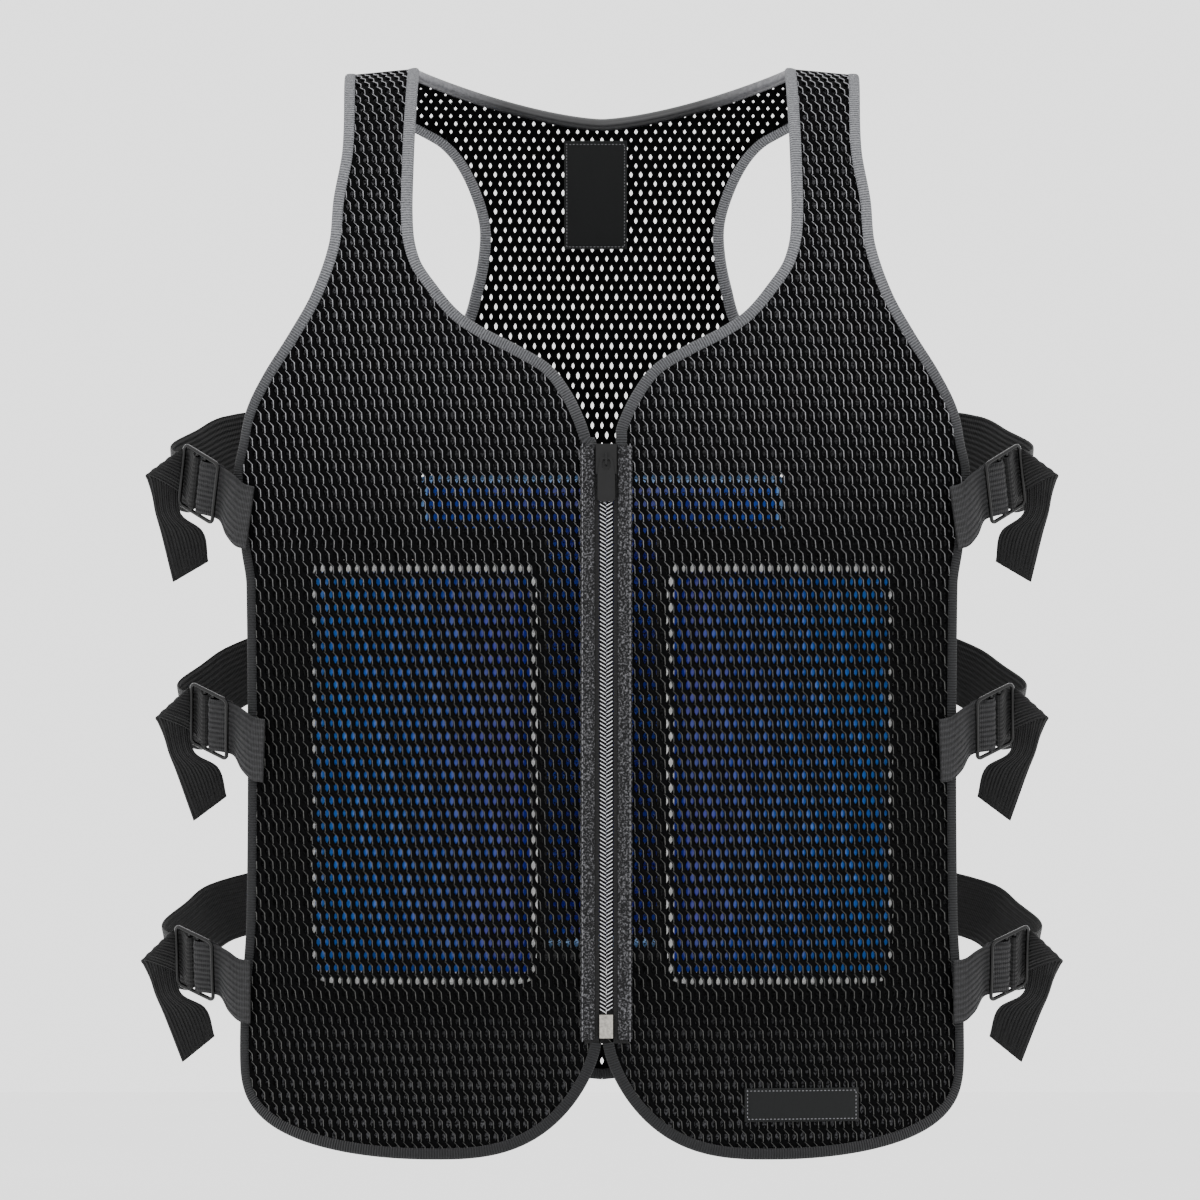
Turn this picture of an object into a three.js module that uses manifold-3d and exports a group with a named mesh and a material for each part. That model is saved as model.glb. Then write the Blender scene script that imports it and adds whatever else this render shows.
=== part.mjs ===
// Cooling vest: a zip-front work vest of open knitted mesh, with cool packs held behind the mesh.
// It stands upright in its worn form. Millimetres, +Z up, the front faces -Y, the origin is at the
// top of the shoulders, midway between them. Right and left are the wearer's: right is at -X.
import * as THREE from "three";
import Module from "manifold-3d";

const wasm = await Module();
wasm.setup();

// Overall sizes of the garment
const FRONT_LENGTH = 655;
const BACK_LENGTH = 619;
const FRONT_HALF_WIDTH = 220;
const BACK_HALF_WIDTH = 204;
const NECK_HALF_WIDTH = 114;
const SHOULDER_HALF_WIDTH = 155;
const NECK_DROP = 227;
const FRONT_DEPTH = 116;
const BACK_DEPTH = 112;
const BODY_HALF_WIDTH = 250;
const BODY_SQUARENESS = 2.5;
const SHOULDER_SLOPE = 0.1;
const SHOULDER_SLOPE_REACH = 40;

// Cloth, and the space left between layers
const CLEARANCE = 0.35;
const MESH_WALL = 2.4;
const LINING_WALL = 1.2;
const BINDING_WALL = 1.3;
const BINDING_WIDTH = 7;
const BINDING_EASE = 0.9;
const BACK_NECK_EASE = 1.4;
const BORDER = 8;

// Cool packs: their place, how far the cloth bulges over them, and the ramp round them.
// A shorter vest takes shorter front packs, set higher.
const FRONT_PACK_WIDTH = 141;
const FRONT_PACK_LENGTH = 0.3924 * FRONT_LENGTH;
const FRONT_PACK_DROP = 0.4534 * FRONT_LENGTH;
const FRONT_PACK_INNER = 37;
const BACK_PACK_WIDTH = 231;
const BACK_PACK_LENGTH = 297;
const BACK_PACK_DROP = 243;
const PACK_OUT = 5;
const PACK_IN = 8;
const PACK_RAMP = 22;
const PACK_SOFT_EDGE = 14;
const PACK_THIN_EDGE = 3;
const POCKET_MARGIN = 9;

// Zip
const ZIP_X = 2.5;
const ZIP_TOP = 230;
const ZIP_BOTTOM = FRONT_LENGTH - 68;
const CHAIN_HALF = 3.9;
const CHAIN_GAP = 0.4;
const CHAIN_WALL = 2.4;
const TAPE_WALL = 1;
const TAPE_OUTER = 13;
const STRIP_INNER = 6.9;
const STRIP_OUTER = 15.5;
const STRIP_WALL = 1.2;
const SLIDER_LENGTH = 18;
const SLIDER_HALF = 6.2;
const SLIDER_PLATE = 1.8;
const PULL_LENGTH = 26;
const PULL_HALF = 5.2;
const PULL_WALL = 1.4;
const BAIL_RISE = 3.6;
const BAIL_WIRE = 1.2;
const BOX_LENGTH = 14;
const BOX_HALF = 4;
const BOX_WALL = 3;

// Side straps
const WEBBING_WIDTH = 38;
const WEBBING_WALL = 1.4;
const BUCKLE_WIRE = 1.2;
const BUCKLE_REACH = 15;
const BUCKLE_BAR_SPACING = 6.8;

// Labels
const NECK_LABEL_WIDTH = 39;
const NECK_LABEL_LENGTH = 66;
const NECK_LABEL_DROP = 38;
const HEM_LABEL_WIDTH = 68;
const HEM_LABEL_LENGTH = 20;
const HEM_LABEL_DROP = 614;
const HEM_LABEL_X = 85;
const LABEL_WALL = 0.9;
const LABEL_SEAM = 2;

// Side view of the body under the vest, from the shoulder down: shares of the length and the depth
const FRONT_PROFILE = [
  { down: 0.015, out: 0.26 },
  { down: 0.061, out: 0.5 },
  { down: 0.153, out: 0.724 },
  { down: 0.305, out: 0.93 },
  { down: 0.43, out: 1 },
  { down: 0.61, out: 0.965 },
  { down: 0.79, out: 0.965 },
  { down: 1.04, out: 1.01 },
];
const BACK_PROFILE = [
  { down: 0.013, out: 0.25 },
  { down: 0.065, out: 0.55 },
  { down: 0.16, out: 0.82 },
  { down: 0.29, out: 1 },
  { down: 0.485, out: 0.964 },
  { down: 0.727, out: 0.82 },
  { down: 1.05, out: 0.94 },
];

// Outer edge of a front: down is a share of the front's length, out runs from strap (0) to chest (1)
const FRONT_EDGE = [
  { down: 0, out: 0 },
  { down: 0.076, out: 0 },
  { down: 0.125, out: 0.08 },
  { down: 0.167, out: 0.12 },
  { down: 0.213, out: 0.28 },
  { down: 0.25, out: 0.49 },
  { down: 0.286, out: 0.72 },
  { down: 0.318, out: 0.88 },
  { down: 0.35, out: 0.95 },
  { down: 0.378, out: 1 },
  { down: 0.445, out: 0.93 },
  { down: 0.48, out: 0.88 },
  { down: 0.78, out: 0.88 },
  { down: 0.88, out: 0.94 },
  { down: 1, out: 0.93 },
];

// Neckline: down is a share of the neck drop, out a share of the neck's half width
const NECKLINE = [
  { down: 0, out: 0.99 },
  { down: 0.26, out: 1.01 },
  { down: 0.44, out: 1.01 },
  { down: 0.525, out: 0.97 },
  { down: 0.59, out: 0.886 },
  { down: 0.665, out: 0.76 },
  { down: 0.71, out: 0.628 },
  { down: 0.757, out: 0.447 },
  { down: 0.806, out: 0.285 },
  { down: 0.872, out: 0.18 },
  { down: 0.947, out: 0.105 },
  { down: 1, out: 0.07 },
];

// Back sections from the top edge to the hem. Width is a share of the back's half width,
// edge and middle are the drops of the outer end and of the centre, as shares of the back's length.
const BACK_SECTIONS = [
  { width: 0.76, edge: 0, middle: 0.0452 },
  { width: 0.752, edge: 0.005, middle: 0.05 },
  { width: 0.735, edge: 0.0145, middle: 0.058 },
  { width: 0.706, edge: 0.023, middle: 0.066 },
  { width: 0.676, edge: 0.031, middle: 0.074 },
  { width: 0.618, edge: 0.042, middle: 0.089 },
  { width: 0.559, edge: 0.052, middle: 0.102 },
  { width: 0.485, edge: 0.066, middle: 0.12 },
  { width: 0.431, edge: 0.087, middle: 0.141 },
  { width: 0.387, edge: 0.118, middle: 0.166 },
  { width: 0.365, edge: 0.147, middle: 0.191 },
  { width: 0.368, edge: 0.176, middle: 0.215 },
  { width: 0.387, edge: 0.207, middle: 0.241 },
  { width: 0.424, edge: 0.244, middle: 0.27 },
  { width: 0.539, edge: 0.289, middle: 0.3 },
  { width: 0.637, edge: 0.309, middle: 0.318 },
  { width: 0.735, edge: 0.327, middle: 0.333 },
  { width: 0.84, edge: 0.345, middle: 0.35 },
  { width: 0.931, edge: 0.363, middle: 0.366 },
  { width: 1, edge: 0.388, middle: 0.39 },
  { width: 0.995, edge: 0.423, middle: 0.43 },
  { width: 0.975, edge: 0.485, middle: 0.51 },
  { width: 0.95, edge: 0.557, middle: 0.578 },
  { width: 0.931, edge: 0.63, middle: 0.646 },
  { width: 0.912, edge: 0.711, middle: 0.722 },
  { width: 0.897, edge: 0.792, middle: 0.798 },
  { width: 0.873, edge: 0.852, middle: 0.86 },
  { width: 0.809, edge: 0.902, middle: 0.914 },
  { width: 0.74, edge: 0.929, middle: 0.947 },
  { width: 0.66, edge: 0.951, middle: 0.967 },
  { width: 0.564, edge: 0.968, middle: 0.981 },
  { width: 0.44, edge: 0.981, middle: 0.992 },
  { width: 0.3, edge: 0.99, middle: 1 },
];

// Hem corners of a front are superellipses about the lowest point
const HEM_LOW_X = 105;
const HEM_OUTER_DROP = FRONT_LENGTH - 65;
const HEM_OUTER_POWERS = { across: 2, down: 3.6 };
const HEM_INNER_POWERS = { across: 3, down: 1.4 };
const HEM_GAP_HALF = 2;
const HEM_STEPS = [0.3, 0.53, 0.73, 0.87, 0.95, 0.99];

// Three levels of side straps. Drop and out place the sewn end, lean turns the strap in the front view.
const STRAP_LEVELS = [
  { name: "upper", drop: 0.4153 * FRONT_LENGTH, inset: 5, lean: 7.7 },
  { name: "middle", drop: 0.629 * FRONT_LENGTH, inset: 6.5, lean: 1.8 },
  { name: "lower", drop: 0.8504 * FRONT_LENGTH, inset: 2, lean: 0 },
];

const smooth = (t) => {
  const c = Math.min(1, Math.max(0, t));
  return c * c * (3 - 2 * c);
};

// Smooth curve through rows: value at x, with slopes from the neighbouring rows.
function through(rows, key, value, x) {
  const last = rows.length - 1;
  const slope = (i) => {
    const a = rows[Math.max(0, i - 1)];
    const b = rows[Math.min(last, i + 1)];
    return (b[value] - a[value]) / (b[key] - a[key]);
  };
  let i = 0;
  while (i < last - 1 && rows[i + 1][key] < x) i++;
  const span = rows[i + 1][key] - rows[i][key];
  const t = Math.min(1, Math.max(0, (x - rows[i][key]) / span));
  const t2 = t * t;
  const t3 = t2 * t;
  return (
    (2 * t3 - 3 * t2 + 1) * rows[i][value] +
    (t3 - 2 * t2 + t) * span * slope(i) +
    (3 * t2 - 2 * t3) * rows[i + 1][value] +
    (t3 - t2) * span * slope(i + 1)
  );
}

// The side profile as a dense line over the shoulder. along is the length of cloth from the crest,
// positive down the front and negative down the back.
function profileLine() {
  const front = FRONT_PROFILE.map((r) => new THREE.Vector3(0, -FRONT_DEPTH * r.out, -FRONT_LENGTH * r.down));
  const back = BACK_PROFILE.map((r) => new THREE.Vector3(0, BACK_DEPTH * r.out, -BACK_LENGTH * r.down));
  const stops = [...back.reverse(), new THREE.Vector3(0, 0, 0), ...front];
  const curve = new THREE.CatmullRomCurve3(stops, false, "centripetal");
  const samples = 40 * (stops.length - 1);
  const crest = back.length * 40;
  const line = [];
  for (let i = 0; i <= samples; i++) line.push(curve.getPoint(i / samples));
  const along = [0];
  for (let i = 1; i <= samples; i++) along.push(along[i - 1] + line[i].distanceTo(line[i - 1]));
  const start = along[crest];
  return line.map((p, i) => ({ along: along[i] - start, y: p.y, z: p.z }));
}

const PROFILE = profileLine();

// Straight-line lookup in the dense profile.
function profileAt(along) {
  let low = 0;
  let high = PROFILE.length - 1;
  while (high - low > 1) {
    const mid = (low + high) >> 1;
    if (PROFILE[mid].along <= along) low = mid;
    else high = mid;
  }
  const a = PROFILE[low];
  const b = PROFILE[high];
  const t = (along - a.along) / (b.along - a.along);
  return { y: a.y + t * (b.y - a.y), z: a.z + t * (b.z - a.z) };
}

// Length of cloth from the crest to a drop, on the front (sign 1) or the back (sign -1).
function alongAt(drop, sign) {
  let low = 0;
  let high = 1.3 * FRONT_LENGTH;
  for (let i = 0; i < 40; i++) {
    const mid = (low + high) / 2;
    if (-profileAt(sign * mid).z < drop) low = mid;
    else high = mid;
  }
  return sign * low;
}

// A point of the body form: x across, along the cloth, before any offset.
function bodyPoint(x, along) {
  const p = profileAt(along);
  const share = Math.min(0.999, Math.abs(x) / BODY_HALF_WIDTH);
  const wrap = (1 - share ** BODY_SQUARENESS) ** (1 / BODY_SQUARENESS);
  const beyond = Math.max(0, Math.abs(x) - NECK_HALF_WIDTH);
  const slope = SHOULDER_SLOPE * beyond * Math.exp(-Math.abs(along) / SHOULDER_SLOPE_REACH);
  return new THREE.Vector3(x, p.y * wrap, p.z - slope);
}

function bodyNormal(x, along) {
  const step = 0.5;
  const dx = bodyPoint(x + step, along).sub(bodyPoint(x - step, along));
  const dAlong = bodyPoint(x, along + step).sub(bodyPoint(x, along - step));
  return dAlong.cross(dx).normalize();
}

// A point of the cloth, offset outwards by a height.
function clothPoint(x, along, height) {
  return bodyPoint(x, along).addScaledVector(bodyNormal(x, along), height);
}

// Geometry helpers: one closed mesh from a list of triangles of points
function meshOf(triangles) {
  const positions = new Float32Array(triangles.length * 9);
  triangles.forEach((t, i) => t.forEach((p, k) => positions.set([p.x, p.y, p.z], i * 9 + k * 3)));
  const geometry = new THREE.BufferGeometry();
  geometry.setAttribute("position", new THREE.BufferAttribute(positions, 3));
  geometry.computeVertexNormals();
  return geometry;
}

// A closed sheet between an outer and an inner grid of points, rows by columns.
function sheet(outer, inner) {
  const rows = outer.length - 1;
  const cols = outer[0].length - 1;
  const tris = [];
  const quad = (a, b, c, d) => tris.push([a, b, c], [a, c, d]);
  for (let i = 0; i < rows; i++) {
    for (let j = 0; j < cols; j++) {
      quad(outer[i][j], outer[i + 1][j], outer[i + 1][j + 1], outer[i][j + 1]);
      quad(inner[i][j], inner[i][j + 1], inner[i + 1][j + 1], inner[i + 1][j]);
    }
  }
  for (let j = 0; j < cols; j++) {
    quad(outer[0][j], outer[0][j + 1], inner[0][j + 1], inner[0][j]);
    quad(outer[rows][j + 1], outer[rows][j], inner[rows][j], inner[rows][j + 1]);
  }
  for (let i = 0; i < rows; i++) {
    quad(outer[i + 1][0], outer[i][0], inner[i][0], inner[i + 1][0]);
    quad(outer[i][cols], outer[i + 1][cols], inner[i + 1][cols], inner[i][cols]);
  }
  return facedOut(tris);
}

// A closed band: the same closed section at each station of a path, with flat ends. Opposite faces
// of the section are split along matching diagonals.
function band(sections) {
  const count = sections[0].length;
  const tris = [];
  for (let i = 0; i < sections.length - 1; i++) {
    for (let k = 0; k < count; k++) {
      const n = (k + 1) % count;
      const [a, b] = [sections[i], sections[i + 1]];
      if (k < count / 2) tris.push([a[k], b[k], b[n]], [a[k], b[n], a[n]]);
      else tris.push([a[k], b[k], a[n]], [b[k], b[n], a[n]]);
    }
  }
  const cap = (s, turn) => {
    for (const [a, b, c] of capFaces(count)) tris.push(turn ? [s[c], s[b], s[a]] : [s[a], s[b], s[c]]);
  };
  cap(sections[0], false);
  cap(sections[sections.length - 1], true);
  return facedOut(tris);
}

// Faces of an end cap: a strip that pairs the outer half of the section with its inner half.
function capFaces(count) {
  const faces = [];
  for (let k = 0; k < count / 2 - 1; k++) {
    const back = count - 1 - k;
    faces.push([k, k + 1, back], [k + 1, back - 1, back]);
  }
  return faces;
}

// Turns all faces round where the body's volume comes out negative.
function facedOut(tris) {
  let volume = 0;
  for (const [a, b, c] of tris) volume += a.dot(b.clone().cross(c));
  return meshOf(volume < 0 ? tris.map(([a, b, c]) => [a, c, b]) : tris);
}

// Joins or cuts closed geometries.
function solidOf(geometry) {
  const position = geometry.getAttribute("position");
  const seen = new Map();
  const vertices = [];
  const faces = [];
  for (let i = 0; i < position.count; i++) {
    const p = [position.getX(i), position.getY(i), position.getZ(i)].map((v) => Math.round(v * 1e4) / 1e4);
    const key = p.join();
    if (!seen.has(key)) {
      seen.set(key, seen.size);
      vertices.push(...p);
    }
    faces.push(seen.get(key));
  }
  return new wasm.Manifold(
    new wasm.Mesh({
      numProp: 3,
      vertProperties: new Float32Array(vertices),
      triVerts: new Uint32Array(faces),
    }),
  );
}

function geometryOf(solid) {
  const made = solid.getMesh();
  const geometry = new THREE.BufferGeometry();
  geometry.setAttribute("position", new THREE.BufferAttribute(new Float32Array(made.vertProperties), 3));
  geometry.setIndex(new THREE.BufferAttribute(new Uint32Array(made.triVerts), 1));
  return geometry;
}

function joined(geometries) {
  return geometryOf(geometries.map(solidOf).reduce((a, b) => a.add(b)));
}

// How fully the cloth bulges at a place: 1 over the pack, 0 beyond the ramp round it.
function bulge(x, drop, pack) {
  const beyondX = Math.max(pack.low - x, x - pack.high, 0);
  const beyondZ = Math.max(pack.top - drop, drop - pack.bottom, 0);
  return 1 - smooth(Math.hypot(beyondX, beyondZ) / PACK_RAMP);
}

const FRONT_PACK = {
  low: FRONT_PACK_INNER,
  high: FRONT_PACK_INNER + FRONT_PACK_WIDTH,
  top: FRONT_PACK_DROP,
  bottom: FRONT_PACK_DROP + FRONT_PACK_LENGTH,
};
const BACK_PACK = {
  low: -BACK_PACK_WIDTH / 2,
  high: BACK_PACK_WIDTH / 2,
  top: BACK_PACK_DROP,
  bottom: BACK_PACK_DROP + BACK_PACK_LENGTH,
};

// Edges of a front as distances from the middle, for side -1 (right) or 1 (left)
function frontOuter(drop) {
  const spread = through(FRONT_EDGE, "down", "out", drop / FRONT_LENGTH);
  const edge = SHOULDER_HALF_WIDTH + spread * (FRONT_HALF_WIDTH - SHOULDER_HALF_WIDTH);
  const down = (drop - HEM_OUTER_DROP) / (FRONT_LENGTH - HEM_OUTER_DROP);
  if (down <= 0) return edge;
  const { across, down: power } = HEM_OUTER_POWERS;
  return HEM_LOW_X + (edge - HEM_LOW_X) * Math.max(0, 1 - down ** power) ** (1 / across);
}

function frontInner(drop, side) {
  const closure = STRIP_INNER + CLEARANCE;
  if (drop < NECK_DROP) {
    const shift = smooth((drop / NECK_DROP - 0.7) / 0.3) * side * ZIP_X;
    return Math.max(closure + shift, NECK_HALF_WIDTH * through(NECKLINE, "down", "out", drop / NECK_DROP));
  }
  const open = smooth((drop - ZIP_BOTTOM + BOX_LENGTH) / BOX_LENGTH);
  const edge = (closure + side * ZIP_X) * (1 - open) + HEM_GAP_HALF * open;
  const down = (drop - ZIP_BOTTOM) / (FRONT_LENGTH - ZIP_BOTTOM);
  if (down <= 0) return edge;
  const { across, down: power } = HEM_INNER_POWERS;
  return HEM_LOW_X - (HEM_LOW_X - edge) * Math.max(0, 1 - down ** power) ** (1 / across);
}

// Drops of a front's rows: close at the shoulder and at the hem, and one on each edge of the pack
function frontDrops() {
  const shoulder = [0, 1.5, 6, 14, 26, 42, 62, 85];
  const neckline = [0.46, 0.54, 0.6, 0.665, 0.71, 0.757, 0.806, 0.87, 0.95, 1].map((s) => s * NECK_DROP);
  const { top, bottom } = FRONT_PACK;
  const body = [(NECK_DROP + top - PACK_RAMP) / 2, top - PACK_RAMP];
  const cells = 5;
  for (let i = 0; i <= cells; i++) body.push(top + ((bottom - top) * i) / cells);
  const below = [bottom + PACK_RAMP, ZIP_BOTTOM];
  const hem = HEM_STEPS.map((s) => ZIP_BOTTOM + (FRONT_LENGTH - ZIP_BOTTOM) * s);
  return [...shoulder, ...neckline, ...body, ...below, ...hem, FRONT_LENGTH - 0.1];
}

// A panel: rows of places in the cloth, each with x, the length along, and the bulge there
function frontPanel(side) {
  const { low, high } = FRONT_PACK;
  return frontDrops().map((drop) => {
    const inner = frontInner(drop, side);
    const outer = frontOuter(drop);
    const width = outer - inner;
    const border = Math.min(BORDER, 0.12 * width);
    const wide = smooth((drop / NECK_DROP - 0.7) / 0.3) * smooth((FRONT_LENGTH - drop) / 40);
    const column = (share, place) => inner + width * share * (1 - wide) + (place - inner) * wide;
    const middle = (low + high) / 2;
    const xs = [inner, inner + border, column(0.2, low), column(0.5, middle), column(0.8, high)];
    xs.push(outer - border, outer);
    const along = Math.max(CLEARANCE, alongAt(drop, 1));
    return xs.map((x) => ({ x: side * x, along, swell: bulge(x, drop, FRONT_PACK) }));
  });
}

function backPanel() {
  return BACK_SECTIONS.map((row) => {
    const width = row.width * BACK_HALF_WIDTH;
    const neck = Math.min((NECK_HALF_WIDTH - 1.5) / width, 0.74);
    const border = 1 - Math.min(BORDER, 0.12 * width) / width;
    const ramp = neck + 0.35 * (border - neck);
    const shares = [0, 0.27 * neck, 0.55 * neck, 0.8 * neck, neck, ramp, border, 1];
    const both = [...shares.slice(1).reverse().map((s) => -s), ...shares];
    return both.map((share) => {
      const rise = Math.min(1, (Math.abs(share) * width) / Math.min(NECK_HALF_WIDTH, width)) ** 1.5;
      const drop = BACK_LENGTH * (row.middle + (row.edge - row.middle) * rise);
      const x = share * width;
      const along = Math.min(-CLEARANCE, alongAt(Math.max(0, drop), -1));
      return { x, along, swell: bulge(x, drop, BACK_PACK) };
    });
  });
}

const gridOf = (panel, out, swell) =>
  panel.map((row) => row.map((q) => clothPoint(q.x, q.along, out + swell * q.swell)));

const LINING_OUT = -(MESH_WALL + CLEARANCE);

function meshSheet(panel) {
  return sheet(gridOf(panel, 0, PACK_OUT), gridOf(panel, -MESH_WALL, PACK_OUT));
}

function liningSheet(panel) {
  return sheet(gridOf(panel, LINING_OUT, -PACK_IN), gridOf(panel, LINING_OUT - LINING_WALL, -PACK_IN));
}

// A place between the rows and columns of a panel, on the flat faces between its points.
function between(panel, rowAt, x, height, swell) {
  const row = Math.min(panel.length - 2, Math.floor(rowAt));
  const t = rowAt - row;
  const onRow = (r) => {
    let j = 0;
    const rising = r[r.length - 1].x > r[0].x ? 1 : -1;
    while (j < r.length - 2 && rising * r[j + 1].x < rising * x) j++;
    const s = (x - r[j].x) / (r[j + 1].x - r[j].x);
    const a = clothPoint(r[j].x, r[j].along, height + swell * r[j].swell);
    const b = clothPoint(r[j + 1].x, r[j + 1].along, height + swell * r[j + 1].swell);
    return a.lerp(b, s);
  };
  return onRow(panel[row]).lerp(onRow(panel[row + 1]), t);
}

// Row of a panel, with its fraction, at a drop down a line of constant x.
function rowAtDrop(panel, x, drop) {
  let low = 0;
  let high = panel.length - 1.001;
  for (let i = 0; i < 30; i++) {
    const mid = (low + high) / 2;
    if (-between(panel, mid, x, 0, 0).z < drop) low = mid;
    else high = mid;
  }
  return low;
}

// Places over a rectangle of a panel, row by row: its edges, a soft margin inside them, and the
// panel's own rows and columns between. Each place has its row, its x and whether it is on the rim.
function patch(panel, area, margin) {
  const clear = margin + 1;
  const rowsAt = (x, drop) => rowAtDrop(panel, x, drop);
  const sides = [area.low, (area.low + area.high) / 2, area.high];
  const first = Math.ceil(Math.max(...sides.map((x) => rowsAt(x, area.top + clear))));
  const final = Math.floor(Math.min(...sides.map((x) => rowsAt(x, area.bottom - clear))));
  const within = (j) =>
    panel
      .slice(first, final + 1)
      .every((row) => row[j].x > area.low + clear && row[j].x < area.high - clear);
  const columns = panel[first].map((q, j) => j).filter(within);
  if (panel[0][0].x > panel[0][1].x) columns.reverse();
  const across = [
    () => area.low,
    () => area.low + margin,
    ...columns.map((j) => (row) => row[j].x),
    () => area.high - margin,
    () => area.high,
  ];
  const rows = [{ drop: area.top }, { drop: area.top + margin }];
  for (let i = first; i <= final; i++) rows.push({ index: i });
  rows.push({ drop: area.bottom - margin }, { drop: area.bottom });
  const corner = margin * 0.35;
  return rows.map(({ drop, index }, i) =>
    across.map((xOf, j) => {
      const endRow = i === 0 || i === rows.length - 1;
      const endColumn = j === 0 || j === across.length - 1;
      const rim = endRow || endColumn;
      if (index !== undefined) return { rowAt: index, x: xOf(panel[index]), rim };
      const near = i < 2 ? panel[first] : panel[final];
      const cut = endRow && endColumn ? corner : 0;
      const x = xOf(near) + (j === 0 ? cut : -cut);
      return { rowAt: rowsAt(x, drop + (i === 0 ? cut : -cut)), x, rim };
    }),
  );
}

const patchGrid = (panel, places, height, rimHeight, swell) =>
  places.map((row) => row.map((q) => between(panel, q.rowAt, q.x, q.rim ? rimHeight : height, swell)));

const grown = (pack, by) => ({
  low: pack.low - by,
  high: pack.high + by,
  top: pack.top - by,
  bottom: pack.bottom + by,
});

const onSide = (area, side) => (side > 0 ? area : { ...area, low: -area.high, high: -area.low });

// A cool pack: a pouch with thin edges and cut corners between the mesh and the inner net
function packSheet(panel, pack, side) {
  const area = onSide(grown(pack, -1 - CLEARANCE), side);
  const places = patch(panel, area, PACK_SOFT_EDGE);
  const outer = -MESH_WALL - CLEARANCE;
  const inner = LINING_OUT + CLEARANCE;
  return sheet(
    patchGrid(panel, places, outer, outer - PACK_THIN_EDGE, PACK_OUT),
    patchGrid(panel, places, inner, inner + PACK_THIN_EDGE, -PACK_IN),
  );
}

// The back's inner net lies only behind the pack
function pocketSheet(panel) {
  const places = patch(panel, grown(BACK_PACK, POCKET_MARGIN), POCKET_MARGIN);
  const outer = LINING_OUT;
  const inner = LINING_OUT - LINING_WALL;
  return sheet(
    patchGrid(panel, places, outer, outer, -PACK_IN),
    patchGrid(panel, places, inner, inner, -PACK_IN),
  );
}

// Binding: a strip folded round the edge of the cloth, along places on that edge. towards is a
// neighbouring place inside the panel. Its legs lie along the flat faces of the panel.
function bindingSections(edge, panel, layers) {
  const at = (q) => clothPoint(q.x, q.along, 0);
  return edge.map(({ place, towards, next, previous }) => {
    const point = at(place);
    const normal = bodyNormal(place.x, place.along);
    const tangent = at(next).sub(at(previous)).normalize();
    const inwards = normal.clone().cross(tangent).normalize();
    if (inwards.dot(at(towards).sub(point)) < 0) inwards.negate();
    const end = point.clone().addScaledVector(inwards, BINDING_WIDTH);
    const rowAt = rowAtDrop(panel, end.x, -end.z);
    const leg = (height, swell) => between(panel, rowAt, end.x, height, swell);
    const fold = (s, h) => point.clone().addScaledVector(inwards, s).addScaledVector(normal, h);
    const { ease } = layers;
    const top = ease + BINDING_WALL;
    const low = -layers.stack - ease;
    const round = -ease - BINDING_WALL;
    return [
      leg(top, PACK_OUT),
      fold(round + 0.5, top),
      fold(round, low - BINDING_WALL + 0.5),
      leg(low - BINDING_WALL, layers.swell),
      leg(low, layers.swell),
      fold(-ease, low),
      fold(-ease, ease),
      leg(ease, PACK_OUT),
    ];
  });
}

const FRONT_STACK = MESH_WALL + CLEARANCE + LINING_WALL;
const FRONT_LAYERS = { stack: FRONT_STACK, swell: -PACK_IN, ease: BINDING_EASE };
const BACK_LAYERS = { stack: MESH_WALL, swell: PACK_OUT, ease: BINDING_EASE };
const BACK_NECK_LAYERS = { ...BACK_LAYERS, ease: BACK_NECK_EASE };

// Adds each place's neighbours along the edge
function linked(places) {
  return places.map((q, i) => ({
    ...q,
    previous: places[Math.max(0, i - 1)].place,
    next: places[Math.min(places.length - 1, i + 1)].place,
  }));
}

// Neckline binding of one front, from the shoulder down to the zip
function neckBinding(panel) {
  const places = [];
  for (const row of panel) {
    if (-profileAt(row[0].along).z > NECK_DROP - CLEARANCE) break;
    places.push({ place: row[0], towards: row[2] });
  }
  return band(bindingSections(linked(places), panel, FRONT_LAYERS));
}

// Back neck binding, with sections at the columns of the top row and between them
function backNeckBinding(panel) {
  const row = panel[0];
  const places = [];
  row.forEach((q, j) => {
    if (Math.abs(q.x) >= NECK_HALF_WIDTH) return;
    const before = row[j - 1];
    const steps = places.length ? [0.5, 1] : [1];
    for (const t of steps) {
      const x = before.x + t * (q.x - before.x);
      const along = before.along + t * (q.along - before.along);
      places.push({ place: { x, along }, towards: panel[3][j] });
    }
  });
  return band(bindingSections(linked(places), panel, BACK_NECK_LAYERS));
}

// Edge binding of one side: up the inner hem corner, along the front hem, up the side and the
// armhole, over the shoulder, down the back armhole and side, and along half of the back hem
function edgeBinding(front, back, side) {
  const onFront = [];
  const last = front.length - 1;
  const deep = last - 7;
  for (let i = 0; i <= last; i++) {
    if (-profileAt(front[i][0].along).z < ZIP_BOTTOM) continue;
    onFront.push({ place: front[i][0], towards: front[Math.min(i, deep)][3] });
  }
  for (let i = last; i >= 0; i--) onFront.push({ place: front[i][6], towards: front[Math.min(i, deep)][3] });
  const onBack = [];
  const end = side > 0 ? back[0].length - 1 : 0;
  const low = back.length - 1;
  for (let i = 0; i <= low; i++) {
    onBack.push({ place: back[i][end], towards: back[Math.min(i, low - 3)][end - 2 * side] });
  }
  const centre = (back[low].length - 1) / 2;
  for (let j = end - side; side * (j - centre) > 0; j -= side) {
    onBack.push({ place: back[low][j], towards: back[low - 3][j] });
  }
  const seam = { ...back[low][centre], x: side };
  onBack.push({ place: seam, towards: back[low - 3][centre] });
  const chain = linked([...onFront, ...onBack]);
  const frontPart = bindingSections(chain.slice(0, onFront.length), front, FRONT_LAYERS);
  const backPart = bindingSections(chain.slice(onFront.length), back, BACK_LAYERS);
  return band([...frontPart, ...backPart]);
}

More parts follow.
